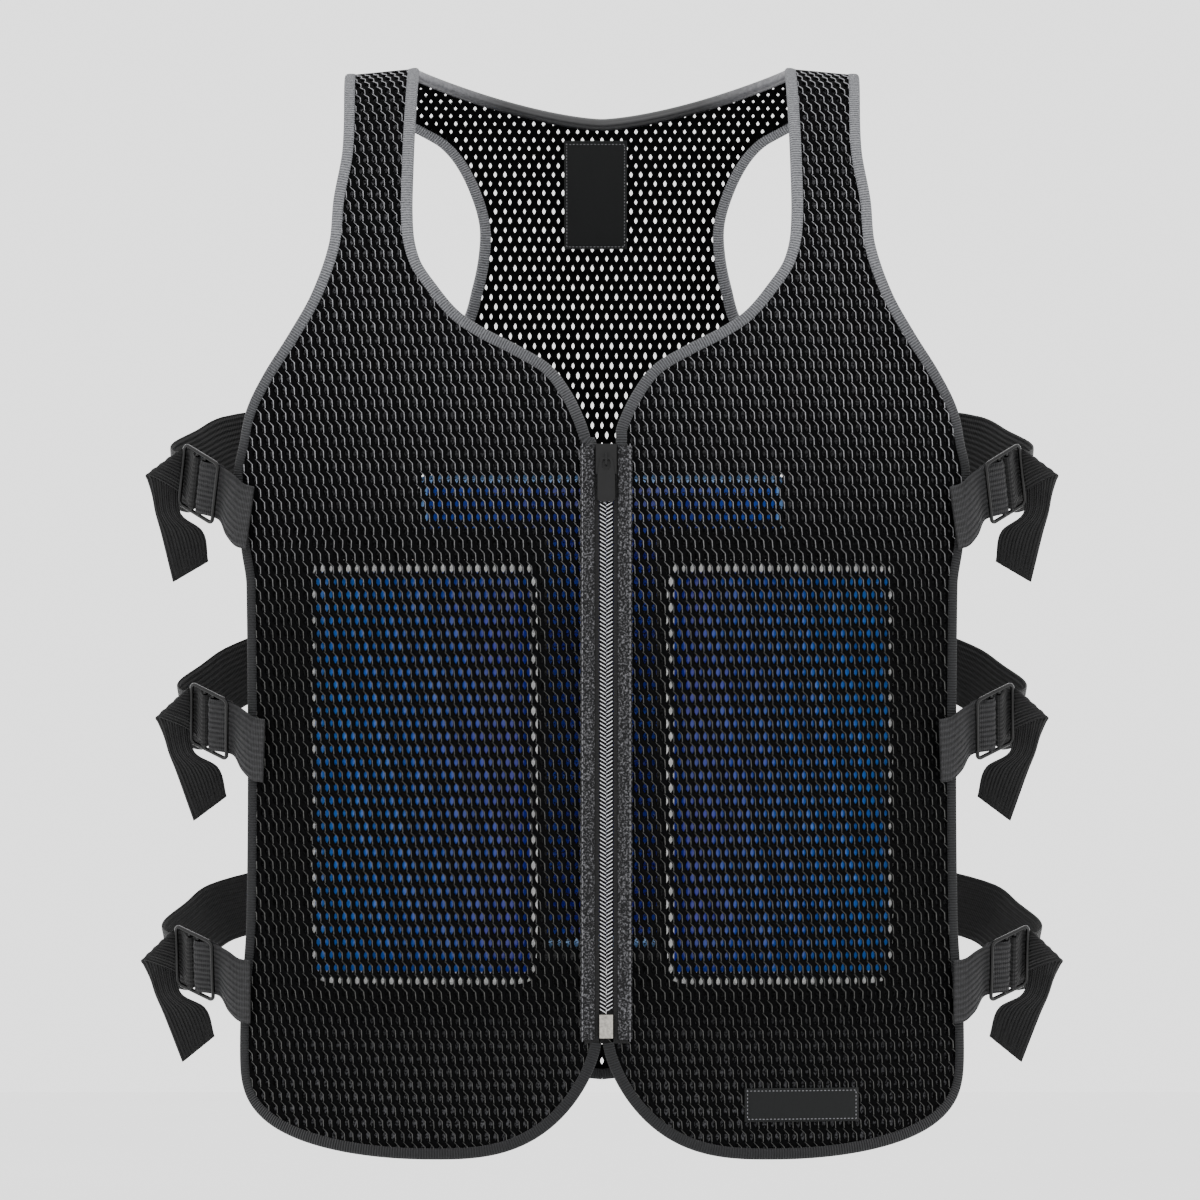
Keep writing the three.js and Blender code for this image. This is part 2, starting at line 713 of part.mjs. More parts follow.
// A flat strip down the front beside the zip, from across a to across b, between two heights.
function zipStrip(a, b, top, bottom, outer, inner) {
  const inside = frontDrops().filter((drop) => drop > top + 4 && drop < bottom - 4);
  const rows = [top, ...inside, bottom].map((drop) => alongAt(drop, 1));
  const grid = (height) => rows.map((along) => [a, b].map((x) => clothPoint(x, along, height)));
  return sheet(grid(outer), grid(inner));
}

const STRIP_UNDER = 2 * CLEARANCE + TAPE_WALL;
const SLIDER_FACE = STRIP_UNDER + 0.1;
const CHAIN_OUT = SLIDER_FACE - CLEARANCE;

function zipTape(side) {
  const x = (d) => ZIP_X + side * d;
  const inner = x(CHAIN_HALF + CLEARANCE);
  return zipStrip(inner, x(TAPE_OUTER), ZIP_TOP, ZIP_BOTTOM, CLEARANCE + TAPE_WALL, CLEARANCE);
}

function zipTeeth(side) {
  const x = (d) => ZIP_X + side * d;
  const top = ZIP_TOP + SLIDER_LENGTH / 2;
  const bottom = ZIP_BOTTOM - 3 - BOX_LENGTH - CLEARANCE;
  return zipStrip(x(CHAIN_GAP / 2), x(CHAIN_HALF), top, bottom, CHAIN_OUT, CHAIN_OUT - CHAIN_WALL);
}

function zipBinding(side) {
  const x = (d) => ZIP_X + side * d;
  const outer = STRIP_UNDER + STRIP_WALL;
  return zipStrip(x(STRIP_INNER), x(STRIP_OUTER), ZIP_TOP, ZIP_BOTTOM - 2, outer, STRIP_UNDER);
}

// A block in the zip's own frame: x across, z up and height out from the cloth at a drop.
function zipFrame(drop) {
  const along = alongAt(drop, 1);
  const origin = clothPoint(ZIP_X, along, 0);
  const out = bodyNormal(ZIP_X, along);
  const across = new THREE.Vector3(1, 0, 0);
  const up = new THREE.Vector3().crossVectors(across, out).normalize();
  if (up.z < 0) up.negate();
  return new THREE.Matrix4().makeBasis(across, up, out).setPosition(origin);
}

function block(width, height, depth, x, y, z) {
  const box = new THREE.BoxGeometry(width, height, depth).translate(x, y, z).toNonIndexed();
  box.deleteAttribute("uv");
  box.deleteAttribute("normal");
  return box;
}

const SLIDER_DROP = ZIP_TOP + SLIDER_LENGTH / 2;

// Slider: two plates joined by a post, with a bail over the outer plate. Its frame has x across,
// y up the zip and z out of the cloth.
function zipSlider() {
  const plate = (z) => block(2 * SLIDER_HALF, SLIDER_LENGTH, SLIDER_PLATE, 0, 0, z);
  const inner = CHAIN_OUT - CHAIN_WALL - CLEARANCE - SLIDER_PLATE / 2;
  const outer = SLIDER_FACE + SLIDER_PLATE / 2;
  const postLength = SLIDER_LENGTH / 2 - 1;
  const postMiddle = SLIDER_LENGTH / 4 + 0.5;
  const post = block(2 * CHAIN_HALF - 1, postLength, outer - inner, 0, postMiddle, (outer + inner) / 2);
  const top = SLIDER_FACE + SLIDER_PLATE;
  const legMiddle = top + BAIL_RISE / 2 - 0.2;
  const legs = [3.4, -3.4].map((y) => block(BAIL_WIRE, BAIL_WIRE, BAIL_RISE, 0, y, legMiddle));
  const crown = block(BAIL_WIRE, 6.8 + BAIL_WIRE, BAIL_WIRE, 0, 0, top + BAIL_RISE);
  const made = joined([plate(inner), plate(outer), post, ...legs, crown]);
  return made.applyMatrix4(zipFrame(SLIDER_DROP));
}

const PULL_AXIS_HEIGHT = SLIDER_FACE + SLIDER_PLATE + 1.5;

// Pull tab: an eye whose top bar lies under the bail, and a plate that hangs down the chain
function zipPull() {
  const half = PULL_WALL / 2;
  const eye = -6.6;
  const foot = -PULL_LENGTH;
  const halfOutline = [
    [PULL_HALF - 1.5, foot],
    [PULL_HALF, foot + 1.5],
    [PULL_HALF, eye - 3],
    [PULL_HALF - 0.6, eye],
    [3.6, half],
  ];
  const halfEye = [
    [1.2, -7.2],
    [2.6, -5.4],
    [2.6, -2.4],
    [1.9, -half],
  ];
  const mirrored = (points) => {
    const right = points.map(([x, y]) => new THREE.Vector2(x, y));
    const left = [...points].reverse().map(([x, y]) => new THREE.Vector2(-x, y));
    return [...right, ...left];
  };
  const shape = new THREE.Shape(mirrored(halfOutline));
  const hole = new THREE.Path(mirrored(halfEye));
  shape.holes.push(hole);
  const plate = new THREE.ExtrudeGeometry(shape, { depth: PULL_WALL, bevelEnabled: false });
  plate.translate(0, 0, PULL_AXIS_HEIGHT - half);
  plate.deleteAttribute("uv");
  plate.deleteAttribute("normal");
  return plate.applyMatrix4(zipFrame(SLIDER_DROP));
}

function zipBox() {
  const box = block(2 * BOX_HALF, BOX_LENGTH, BOX_WALL, 0, 0, CLEARANCE + BOX_WALL / 2);
  return box.applyMatrix4(zipFrame(ZIP_BOTTOM - 3 - BOX_LENGTH / 2));
}

// Webbing: a flat band along stations, each with a centre and a width vector, cut square at its ends.
function webbing(stations) {
  const steps = stations.length - 1;
  const line = (key) => new THREE.CatmullRomCurve3(stations.map((s) => s[key]), false, "centripetal");
  const centres = line("centre");
  const widths = line("width");
  const sections = [];
  for (let i = 0; i <= steps; i++) {
    const t = i / steps;
    const centre = centres.getPoint(t);
    const width = widths.getPoint(t);
    const tangent = centres.getTangent(t);
    const normal = tangent.clone().cross(width).normalize().multiplyScalar(WEBBING_WALL / 2);
    const half = width.multiplyScalar(0.5);
    const corner = (a, b) => centre.clone().addScaledVector(half, a).addScaledVector(normal, b);
    sections.push([corner(1, 1), corner(-1, 1), corner(-1, -1), corner(1, -1)]);
  }
  return band(sections);
}

// The frame of one side strap. Its tables are drawn for the wearer's right side, at the sewn end.
function strapFrame(level, side) {
  const edge = frontOuter(level.drop);
  const origin = clothPoint(-(edge - level.inset), alongAt(level.drop, 1), ON_BINDING + 0.8);
  const turn = new THREE.Matrix4().makeRotationY(THREE.MathUtils.degToRad(level.lean));
  const place = new THREE.Matrix4().setPosition(origin).multiply(turn);
  return side < 0 ? place : new THREE.Matrix4().makeScale(-1, 1, 1).multiply(place);
}

// Directions of the buckle: along the strap (outwards), up its bars, and out of its face
const BUCKLE_ALONG = new THREE.Vector3(-0.74, 0.59, 0.32).normalize();
const BUCKLE_OUT = new THREE.Vector3(-0.66, -0.65, -0.355).normalize();
const BUCKLE_UP = new THREE.Vector3().crossVectors(BUCKLE_ALONG, BUCKLE_OUT).normalize();
const BUCKLE_CENTRE = new THREE.Vector3(-0.79, 0.55, 0.4).multiplyScalar(WEBBING_WIDTH);
const SQUEEZED = 0.93;
const BAR_HALF = WEBBING_WIDTH * 0.5 + BUCKLE_WIRE;

// A point of the buckle's frame: a along the strap from the middle, n out of its face
function inBuckle(a, n) {
  return BUCKLE_CENTRE.clone().addScaledVector(BUCKLE_ALONG, a).addScaledVector(BUCKLE_OUT, n);
}

const LOOP = BUCKLE_WIRE + 0.3 + WEBBING_WALL / 2;
const UNDER = -(LOOP + 0.5);
const NEXT_LAYER = WEBBING_WALL + 0.7;

// Stations round an inner bar: over it from the outer side, round it, and back below.
function loopRound(bar, towards) {
  const places = [90, 45, 0, -45, -90].map((deg) => {
    const turn = THREE.MathUtils.degToRad(deg);
    return { a: bar + towards * LOOP * Math.cos(turn), n: LOOP * Math.sin(turn) };
  });
  return places;
}

const squeezedUp = () => BUCKLE_UP.clone().multiplyScalar(WEBBING_WIDTH * SQUEEZED);
const inShares = (x, y, z) => new THREE.Vector3(x, y, z).multiplyScalar(WEBBING_WIDTH);

// Short front elastic: from its sewn end under the front bar, round the first inner bar and back
function frontElastic() {
  const bar = -BUCKLE_BAR_SPACING / 2;
  const stations = [
    { centre: inShares(0.12, -0.1, -0.03), width: inShares(0, 0, 1) },
    { centre: inShares(-0.06, 0.0, 0), width: inShares(0, -0.02, 1) },
    { centre: inShares(-0.22, 0.1, 0.12), width: inShares(0, -0.12, 0.97) },
    { centre: inBuckle(-BUCKLE_REACH - 3, UNDER - 0.5), width: squeezedUp() },
    { centre: inBuckle(-BUCKLE_REACH + 2, UNDER), width: squeezedUp() },
    ...loopRound(bar, 1).map(({ a, n }) => ({ centre: inBuckle(a, n), width: squeezedUp() })),
    { centre: inBuckle(-BUCKLE_REACH + 3, UNDER - NEXT_LAYER), width: squeezedUp() },
    { centre: inBuckle(-BUCKLE_REACH - 1, UNDER - 0.2 - NEXT_LAYER), width: squeezedUp() },
  ];
  return webbing(stations);
}

// Long side elastic from the back panel's edge, up through the buckle, round the second inner bar
// and out as the free tail, which folds over on itself and hangs. Centres and widths are shares of
// the webbing's width.
const BACK_RUN = [
  { x: -0.5, y: 3.45, z: 1.1, wx: -0.4, wy: -0.1, wz: 0.9 },
  { x: -0.85, y: 2.95, z: 0.84, wx: -0.42, wy: -0.15, wz: 0.86 },
  { x: -1.22, y: 2.3, z: 0.56, wx: -0.3, wy: -0.2, wz: 0.9 },
  { x: -1.22, y: 1.5, z: 0.42, wx: -0.1, wy: -0.3, wz: 0.9 },
  { x: -0.92, y: 1.12, z: 0.36, wx: 0, wy: -0.42, wz: 0.86 },
];
const TAIL_RUN = [
  { x: -1.36, y: 0.71, z: 0.66, wx: 0.39, wy: -0.16, wz: 0.47 },
  { x: -1.41, y: 0.77, z: 0.645, wx: 0.49, wy: -0.12, wz: 0.45 },
  { x: -1.37, y: 0.88, z: 0.526, wx: 0.5, wy: -0.08, wz: 0.37 },
  { x: -1.32, y: 1.16, z: 0.17, wx: 0.42, wy: -0.05, wz: 0.13 },
  { x: -1.24, y: 1.15, z: -0.12, wx: 0.42, wy: -0.08, wz: 0.04 },
  { x: -0.99, y: 1.16, z: -0.38, wx: 0.66, wy: -0.08, wz: 0.12 },
  { x: -0.76, y: 1.2, z: -1.0, wx: 0.5, wy: 0.26, wz: 0.4 },
];
const ROOT_RISE = 52;
const ROOT_OVERLAP = 12;
const ON_BINDING = BINDING_EASE + BINDING_WALL + CLEARANCE + 0.3 + WEBBING_WALL / 2;

// toStrap carries a point of the vest into the strap's frame; the root lies on the back's edge.
function sideElastic(level, toStrap) {
  const bar = BUCKLE_BAR_SPACING / 2;
  const station = (r) => ({ centre: inShares(r.x, r.y, r.z), width: inShares(r.wx, r.wy, r.wz) });
  const drop = level.drop - ROOT_RISE;
  const root = (inset, out) => {
    const at = (d) => clothPoint(-(backEdge(d) - inset), alongAt(d, -1), out).applyMatrix4(toStrap);
    const half = WEBBING_WIDTH / 2;
    return { centre: at(drop), width: at(drop - half).sub(at(drop + half)) };
  };
  const stations = [
    root(ROOT_OVERLAP, ON_BINDING),
    root(0, ON_BINDING),
    root(-8, ON_BINDING - 2),
    ...BACK_RUN.map(station),
    ...loopRound(bar, -1)
      .reverse()
      .map(({ a, n }) => ({ centre: inBuckle(a, n), width: squeezedUp() })),
    { centre: inBuckle(BUCKLE_REACH - 3, UNDER), width: squeezedUp() },
    { centre: inBuckle(BUCKLE_REACH + 1.5, UNDER - 0.4), width: squeezedUp().multiplyScalar(0.88) },
    ...TAIL_RUN.map(station),
  ];
  return webbing(stations);
}

// Half width of the back at a drop of its edge.
function backEdge(drop) {
  const rows = BACK_SECTIONS.filter((row) => row.edge > 0.38);
  return BACK_HALF_WIDTH * through(rows, "edge", "width", drop / BACK_LENGTH);
}

// Wire slide buckle: a frame with cut corners and two inner bars, fused into one body
function slideBuckle() {
  const at = (a, up) => inBuckle(a, 0).addScaledVector(BUCKLE_UP, up);
  const [reach, high] = [BUCKLE_REACH, BAR_HALF];
  const corner = 2.5;
  const rim = [
    at(-reach, corner - high),
    at(-reach, high - corner),
    at(corner - reach, high),
    at(reach - corner, high),
    at(reach, high - corner),
    at(reach, corner - high),
    at(reach - corner, -high),
    at(corner - reach, -high),
  ];
  const bars = [-1, 1].map((s) => {
    const a = (s * BUCKLE_BAR_SPACING) / 2;
    const section = (up) =>
      [[1, 0], [0, 1], [-1, 0], [0, -1]].map(([da, n]) =>
        at(a + da * BUCKLE_WIRE, up).addScaledVector(BUCKLE_OUT, n * BUCKLE_WIRE * 0.9),
      );
    return band([section(-high), section(high)]);
  });
  return joined([ringOf(rim, 4), ...bars]);
}

// A closed ring of wire through points, each joint mitred
function ringOf(points, sides) {
  const count = points.length;
  const tris = [];
  const sections = points.map((p, i) => {
    const before = p.clone().sub(points[(i + count - 1) % count]).normalize();
    const after = points[(i + 1) % count].clone().sub(p).normalize();
    const along = before.clone().add(after).normalize();
    const across = along.clone().cross(BUCKLE_OUT).normalize();
    const mitre = 1 / Math.max(0.5, along.dot(after));
    const section = [];
    for (let k = 0; k < sides; k++) {
      const turn = (2 * Math.PI * k) / sides;
      const point = p.clone().addScaledVector(across, BUCKLE_WIRE * mitre * Math.cos(turn));
      section.push(point.addScaledVector(BUCKLE_OUT, BUCKLE_WIRE * Math.sin(turn)));
    }
    return section;
  });
  for (let i = 0; i < count; i++) {
    const a = sections[i];
    const b = sections[(i + 1) % count];
    for (let k = 0; k < sides; k++) {
      const n = (k + 1) % sides;
      tris.push([a[k], b[k], b[n]], [a[k], b[n], a[n]]);
    }
  }
  return facedOut(tris);
}

// A flat label on a panel, inside or outside of the cloth
function label(panel, xLow, width, drop, length, inside) {
  const area = { low: xLow, high: xLow + width, top: drop, bottom: drop + length };
  const places = patch(panel, area, LABEL_SEAM);
  const under = inside ? -MESH_WALL - CLEARANCE : CLEARANCE;
  const face = under + (inside ? -LABEL_WALL : LABEL_WALL);
  return sheet(patchGrid(panel, places, face, face, 0), patchGrid(panel, places, under, under, 0));
}

const material = (color, roughness, metalness) =>
  new THREE.MeshStandardMaterial({ color, roughness, metalness });
const MATERIALS = {
  mesh: material("#141416", 0.8, 0),
  net: material("#1b1b1e", 0.85, 0),
  knit: material("#6b6c70", 0.9, 0),
  satin: material("#1a1a1c", 0.5, 0),
  melange: material("#45464a", 0.9, 0),
  elastic: material("#1c1c1e", 0.85, 0),
  wire: material("#101012", 0.3, 0.4),
  tape: material("#0f0f10", 0.85, 0),
  zipMetal: material("#c9cacc", 0.3, 1),
  slider: material("#1a1a1b", 0.35, 0.6),
  pack: material("#1f5fc0", 0.35, 0),
  label: material("#1f2223", 0.7, 0),
};

const vest = new THREE.Group();
vest.name = "cooling_vest";

function add(name, geometry, finish) {
  const mesh = new THREE.Mesh(geometry, MATERIALS[finish]);
  mesh.name = name;
  vest.add(mesh);
  return mesh;
}

const SIDES = [
  { name: "right", sign: -1 },
  { name: "left", sign: 1 },
];
const back = backPanel();

for (const { name, sign } of SIDES) {
  const front = frontPanel(sign);
  add(`front_mesh_${name}`, meshSheet(front), "mesh");
  add(`front_lining_${name}`, liningSheet(front), "net");
  add(`cool_pack_front_${name}`, packSheet(front, FRONT_PACK, sign), "pack");
  add(`neck_binding_${name}`, neckBinding(front), "knit");
  add(`edge_binding_${name}`, edgeBinding(front, back, sign), "knit");
  add(`zip_tape_${name}`, zipTape(sign), "tape");
  add(`zip_teeth_${name}`, zipTeeth(sign), "zipMetal");
  add(`zip_binding_${name}`, zipBinding(sign), "melange");
  for (const level of STRAP_LEVELS) {
    const place = strapFrame(level, sign);
    const toStrap = strapFrame(level, -1).invert();
    add(`front_elastic_${level.name}_${name}`, frontElastic(), "elastic").applyMatrix4(place);
    add(`side_elastic_${level.name}_${name}`, sideElastic(level, toStrap), "elastic").applyMatrix4(place);
    add(`slide_buckle_${level.name}_${name}`, slideBuckle(), "wire").applyMatrix4(place);
  }
  if (sign > 0) {
    const hem = label(front, HEM_LABEL_X, HEM_LABEL_WIDTH, HEM_LABEL_DROP, HEM_LABEL_LENGTH, false);
    add("hem_label", hem, "label");
  }
}

add("back_mesh", meshSheet(back), "mesh");
add("back_neck_binding", backNeckBinding(back), "satin");
add("back_pocket", pocketSheet(back), "net");
add("cool_pack_back", packSheet(back, BACK_PACK, 1), "pack");
const neckLabelX = -NECK_LABEL_WIDTH * 0.6;
const neckLabel = label(back, neckLabelX, NECK_LABEL_WIDTH, NECK_LABEL_DROP, NECK_LABEL_LENGTH, true);
add("neck_label", neckLabel, "label");
add("zip_slider", zipSlider(), "slider");
add("zip_pull", zipPull(), "slider");
add("zip_box", zipBox(), "zipMetal");

export default vest;
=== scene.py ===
"""Looks of the cooling vest: pierced knit, ribbed bindings, webbing, zip teeth and filled packs.

The form is the same as the CAD part's. A place in the cloth is x, across the body in millimetres, and
along, the length of cloth from the top of the shoulder, positive down the front and negative down the
back. cloth() turns it, with a height out of the cloth, into a point of the vest.
"""

import math

import bpy
import numpy as np
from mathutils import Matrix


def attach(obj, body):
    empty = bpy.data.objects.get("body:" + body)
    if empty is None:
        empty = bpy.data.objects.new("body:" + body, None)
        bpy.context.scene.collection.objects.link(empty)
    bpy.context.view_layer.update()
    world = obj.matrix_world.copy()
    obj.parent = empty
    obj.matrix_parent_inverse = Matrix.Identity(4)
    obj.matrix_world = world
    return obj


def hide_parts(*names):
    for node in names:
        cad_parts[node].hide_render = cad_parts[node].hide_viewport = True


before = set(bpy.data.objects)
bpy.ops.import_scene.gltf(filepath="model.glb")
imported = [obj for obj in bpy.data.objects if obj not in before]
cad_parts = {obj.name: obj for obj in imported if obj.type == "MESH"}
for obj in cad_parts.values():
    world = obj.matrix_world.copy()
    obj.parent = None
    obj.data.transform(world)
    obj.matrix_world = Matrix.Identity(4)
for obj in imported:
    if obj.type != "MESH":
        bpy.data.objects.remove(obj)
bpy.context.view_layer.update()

# Garment sizes in millimetres, as in the part
FRONT_LENGTH = 655.0
BACK_LENGTH = 619.0
FRONT_HALF_WIDTH = 220.0
BACK_HALF_WIDTH = 204.0
NECK_HALF_WIDTH = 114.0
SHOULDER_HALF_WIDTH = 155.0
NECK_DROP = 227.0
FRONT_DEPTH = 116.0
BACK_DEPTH = 112.0
BODY_HALF_WIDTH = 250.0
BODY_SQUARENESS = 2.5
SHOULDER_SLOPE = 0.1
SHOULDER_SLOPE_REACH = 40.0
BINDING_WIDTH = 7.0
PACK_OUT = 5.0
PACK_IN = 8.0
PACK_RAMP = 22.0
ZIP_X = 2.5
ZIP_TOP = 230.0
ZIP_BOTTOM = 587.0
HEM_LOW_X = 105.0
HEM_OUTER_DROP = 590.0
WEBBING_WIDTH = 38.0
WEBBING_WALL = 1.4

# Knit of the fronts and the back: distance between holes, between rows, and the size of a hole
FRONT_KNIT = {"across": 5.1, "down": 7.7, "hole_wide": 2.15, "hole_tall": 5.3}
BACK_KNIT = {"across": 6.0, "down": 6.2, "hole_wide": 1.75, "hole_tall": 4.4}

# Side profiles from the shoulder down: share of the length, share of the depth
FRONT_PROFILE = np.array(
    [
        (0.015, 0.26),
        (0.061, 0.5),
        (0.153, 0.724),
        (0.305, 0.93),
        (0.43, 1.0),
        (0.61, 0.965),
        (0.79, 0.965),
        (1.04, 1.01),
    ]
)
BACK_PROFILE = np.array(
    [
        (0.013, 0.25),
        (0.065, 0.55),
        (0.16, 0.82),
        (0.29, 1.0),
        (0.485, 0.964),
        (0.727, 0.82),
        (1.05, 0.94),
    ]
)
# Outlines: share of the length, share of the width
FRONT_EDGE = np.array(
    [
        (0.0, 0.0),
        (0.076, 0.0),
        (0.125, 0.08),
        (0.167, 0.12),
        (0.213, 0.28),
        (0.25, 0.49),
        (0.286, 0.72),
        (0.318, 0.88),
        (0.35, 0.95),
        (0.378, 1.0),
        (0.445, 0.93),
        (0.48, 0.88),
        (0.78, 0.88),
        (0.88, 0.94),
        (1.0, 0.93),
    ]
)
NECKLINE = np.array(
    [
        (0.0, 0.99),
        (0.26, 1.01),
        (0.44, 1.01),
        (0.525, 0.97),
        (0.59, 0.886),
        (0.665, 0.76),
        (0.71, 0.628),
        (0.757, 0.447),
        (0.806, 0.285),
        (0.872, 0.18),
        (0.947, 0.105),
        (1.0, 0.07),
    ]
)
BACK_EDGE = np.array(
    [
        (0.0, 0.76),
        (0.005, 0.752),
        (0.0145, 0.735),
        (0.023, 0.706),
        (0.031, 0.676),
        (0.042, 0.618),
        (0.052, 0.559),
        (0.066, 0.485),
        (0.087, 0.431),
        (0.118, 0.387),
        (0.147, 0.365),
        (0.176, 0.368),
        (0.207, 0.387),
        (0.244, 0.424),
        (0.289, 0.539),
        (0.309, 0.637),
        (0.327, 0.735),
        (0.345, 0.84),
        (0.363, 0.931),
        (0.388, 1.0),
        (0.423, 0.995),
        (0.485, 0.975),
        (0.557, 0.95),
        (0.63, 0.931),
        (0.711, 0.912),
        (0.792, 0.897),
        (0.852, 0.873),
        (0.902, 0.809),
        (0.929, 0.74),
        (0.951, 0.66),
        (0.968, 0.564),
        (0.981, 0.44),
        (0.99, 0.3),
        (1.0, 0.0),
    ]
)
# Packs and labels: from x to x, and from drop to drop
FRONT_PACK = {"low": 37.0, "high": 178.0, "top": 297.0, "bottom": 554.0}
BACK_PACK = {"low": -115.5, "high": 115.5, "top": 243.0, "bottom": 540.0}
NECK_LABEL = {"low": -23.4, "high": 15.6, "top": 38.0, "bottom": 104.0}
HEM_LABEL = {"low": 85.0, "high": 153.0, "top": 614.0, "bottom": 634.0}
STITCH_INSET = 1.6

# Strips beside the zip: from and to, out from its middle, and the heights of back and face
ZIP_TAPE = {"from": 4.25, "to": 13.0, "back": 0.35, "face": 1.35}
MELANGE_STRIP = {"from": 6.9, "to": 15.5, "back": 1.7, "face": 2.9}
ZIP_CORE = {"from": 0.05, "to": 4.2, "back": -0.9, "face": -0.3}
ZIP_SEAM_X = 14.2

# Heights in the stack of cloth, from the outer face inwards
NET_HEIGHT = -3.0
POUCH_HEIGHT = -3.1


def smooth(t):
    """Ease from 0 to 1: 3 t squared less 2 t cubed, with t held between 0 and 1."""
    t = np.clip(t, 0.0, 1.0)
    return t * t * (3.0 - 2.0 * t)


def through(table, x):
    """Cubic through the table's rows, its slope at each row taken from the rows on either side."""
    keys, values = table[:, 0], table[:, 1]
    last = len(keys) - 1
    before = np.maximum(np.arange(last + 1) - 1, 0)
    after = np.minimum(np.arange(last + 1) + 1, last)
    slopes = (values[after] - values[before]) / (keys[after] - keys[before])
    i = np.clip(np.searchsorted(keys, x, side="right") - 1, 0, last - 1)
    span = keys[i + 1] - keys[i]
    t = np.clip((x - keys[i]) / span, 0.0, 1.0)
    t2, t3 = t * t, t * t * t
    return (
        (2 * t3 - 3 * t2 + 1) * values[i]
        + (t3 - 2 * t2 + t) * span * slopes[i]
        + (3 * t2 - 2 * t3) * values[i + 1]
        + (t3 - t2) * span * slopes[i + 1]
    )


def curve_through(stops, samples):
    """Centripetal Catmull-Rom curve through the stops, with an even count of samples per span."""
    stops = np.asarray(stops, float)
    ends = np.vstack([2 * stops[0] - stops[1], stops, 2 * stops[-1] - stops[-2]])
    t = np.linspace(0.0, 1.0, samples, endpoint=False)[:, None]
    spans = []
    for i in range(len(stops) - 1):
        p0, p1, p2, p3 = ends[i : i + 4]
        d0, d1, d2 = (max(np.linalg.norm(b - a), 1e-6) ** 0.5 for a, b in ((p0, p1), (p1, p2), (p2, p3)))
        m1 = ((p1 - p0) / d0 - (p2 - p0) / (d0 + d1) + (p2 - p1) / d1) * d1
        m2 = ((p2 - p1) / d1 - (p3 - p1) / (d1 + d2) + (p3 - p2) / d2) * d1
        spans.append(p1 + m1 * t + (3 * (p2 - p1) - 2 * m1 - m2) * t**2 + (2 * (p1 - p2) + m1 + m2) * t**3)
    return np.vstack(spans + [stops[-1:]])


def length_along(points):
    """Length of the line through the points up to each of them."""
    steps = np.linalg.norm(np.diff(points, axis=0), axis=1)
    return np.concatenate([[0.0], np.cumsum(steps)])


def side_profile():
    """Dense side profile over the shoulder: lengths from the crest, depths and heights."""
    front = np.column_stack([-FRONT_DEPTH * FRONT_PROFILE[:, 1], -FRONT_LENGTH * FRONT_PROFILE[:, 0]])
    back = np.column_stack([BACK_DEPTH * BACK_PROFILE[:, 1], -BACK_LENGTH * BACK_PROFILE[:, 0]])
    samples = 40
    line = curve_through(np.vstack([back[::-1], [[0.0, 0.0]], front]), samples)
    along = length_along(line)
    along -= along[len(back) * samples]
    return along, line[:, 0], line[:, 1]


PROFILE_ALONG, PROFILE_Y, PROFILE_Z = side_profile()


def drop_at(along):
    """Height below the crest of a length along the cloth."""
    return -np.interp(along, PROFILE_ALONG, PROFILE_Z)


def along_at(drop, sign):
    """Length along the front (sign 1) or the back (sign -1) at a drop."""
    half = PROFILE_ALONG * sign >= 0
    lengths, drops = PROFILE_ALONG[half] * sign, -PROFILE_Z[half]
    order = np.argsort(lengths)
    return sign * np.interp(drop, drops[order], lengths[order])


def body_point(x, along):
    """The side profile swept across the body: its depth shrinks with x as a superellipse."""
    share = np.minimum(np.abs(x) / BODY_HALF_WIDTH, 0.999)
    wrap = (1.0 - share**BODY_SQUARENESS) ** (1.0 / BODY_SQUARENESS)
    beyond = np.maximum(0.0, np.abs(x) - NECK_HALF_WIDTH)
    slope = SHOULDER_SLOPE * beyond * np.exp(-np.abs(along) / SHOULDER_SLOPE_REACH)
    y = np.interp(along, PROFILE_ALONG, PROFILE_Y) * wrap
    z = np.interp(along, PROFILE_ALONG, PROFILE_Z) - slope
    return np.stack([x + 0.0 * y, y, z], axis=-1)


def directions(x, along):
    """Unit normal out of the cloth, and the steps of a point per millimetre of x and of along."""
    step = 0.6
    across = (body_point(x + step, along) - body_point(x - step, along)) / (2 * step)
    down = (body_point(x, along + step) - body_point(x, along - step)) / (2 * step)
    normal = np.cross(down, across)
    normal /= np.linalg.norm(normal, axis=-1, keepdims=True)
    return normal, across, down


def cloth(x, along, height):
    """Point of the body form moved out along its normal by the height."""
    x, along, height = np.broadcast_arrays(
        np.asarray(x, float), np.asarray(along, float), np.asarray(height, float)
    )
    normal, _, _ = directions(x, along)
    return body_point(x, along) + normal * height[..., None]


def bulge(x, drop, pack):
    """1 over the pack, easing to 0 at the end of the ramp round its rectangle."""
    beyond_x = np.maximum(np.maximum(pack["low"] - x, x - pack["high"]), 0.0)
    beyond_z = np.maximum(np.maximum(pack["top"] - drop, drop - pack["bottom"]), 0.0)
    return 1.0 - smooth(np.hypot(beyond_x, beyond_z) / PACK_RAMP)


def swell(x, along):
    """How far the cloth bulges over the pack behind it, on the front or the back."""
    drop = drop_at(along)
    return np.where(along > 0, bulge(np.abs(x), drop, FRONT_PACK), bulge(x, drop, BACK_PACK))


def front_outer(drop):
    """Distance of a front's outer edge from the middle; the hem corner is a superellipse."""
    widening = FRONT_HALF_WIDTH - SHOULDER_HALF_WIDTH
    edge = SHOULDER_HALF_WIDTH + through(FRONT_EDGE, drop / FRONT_LENGTH) * widening
    down = np.clip((drop - HEM_OUTER_DROP) / (FRONT_LENGTH - HEM_OUTER_DROP), 0.0, 1.0)
    return HEM_LOW_X + (edge - HEM_LOW_X) * (1.0 - down**3.6) ** 0.5


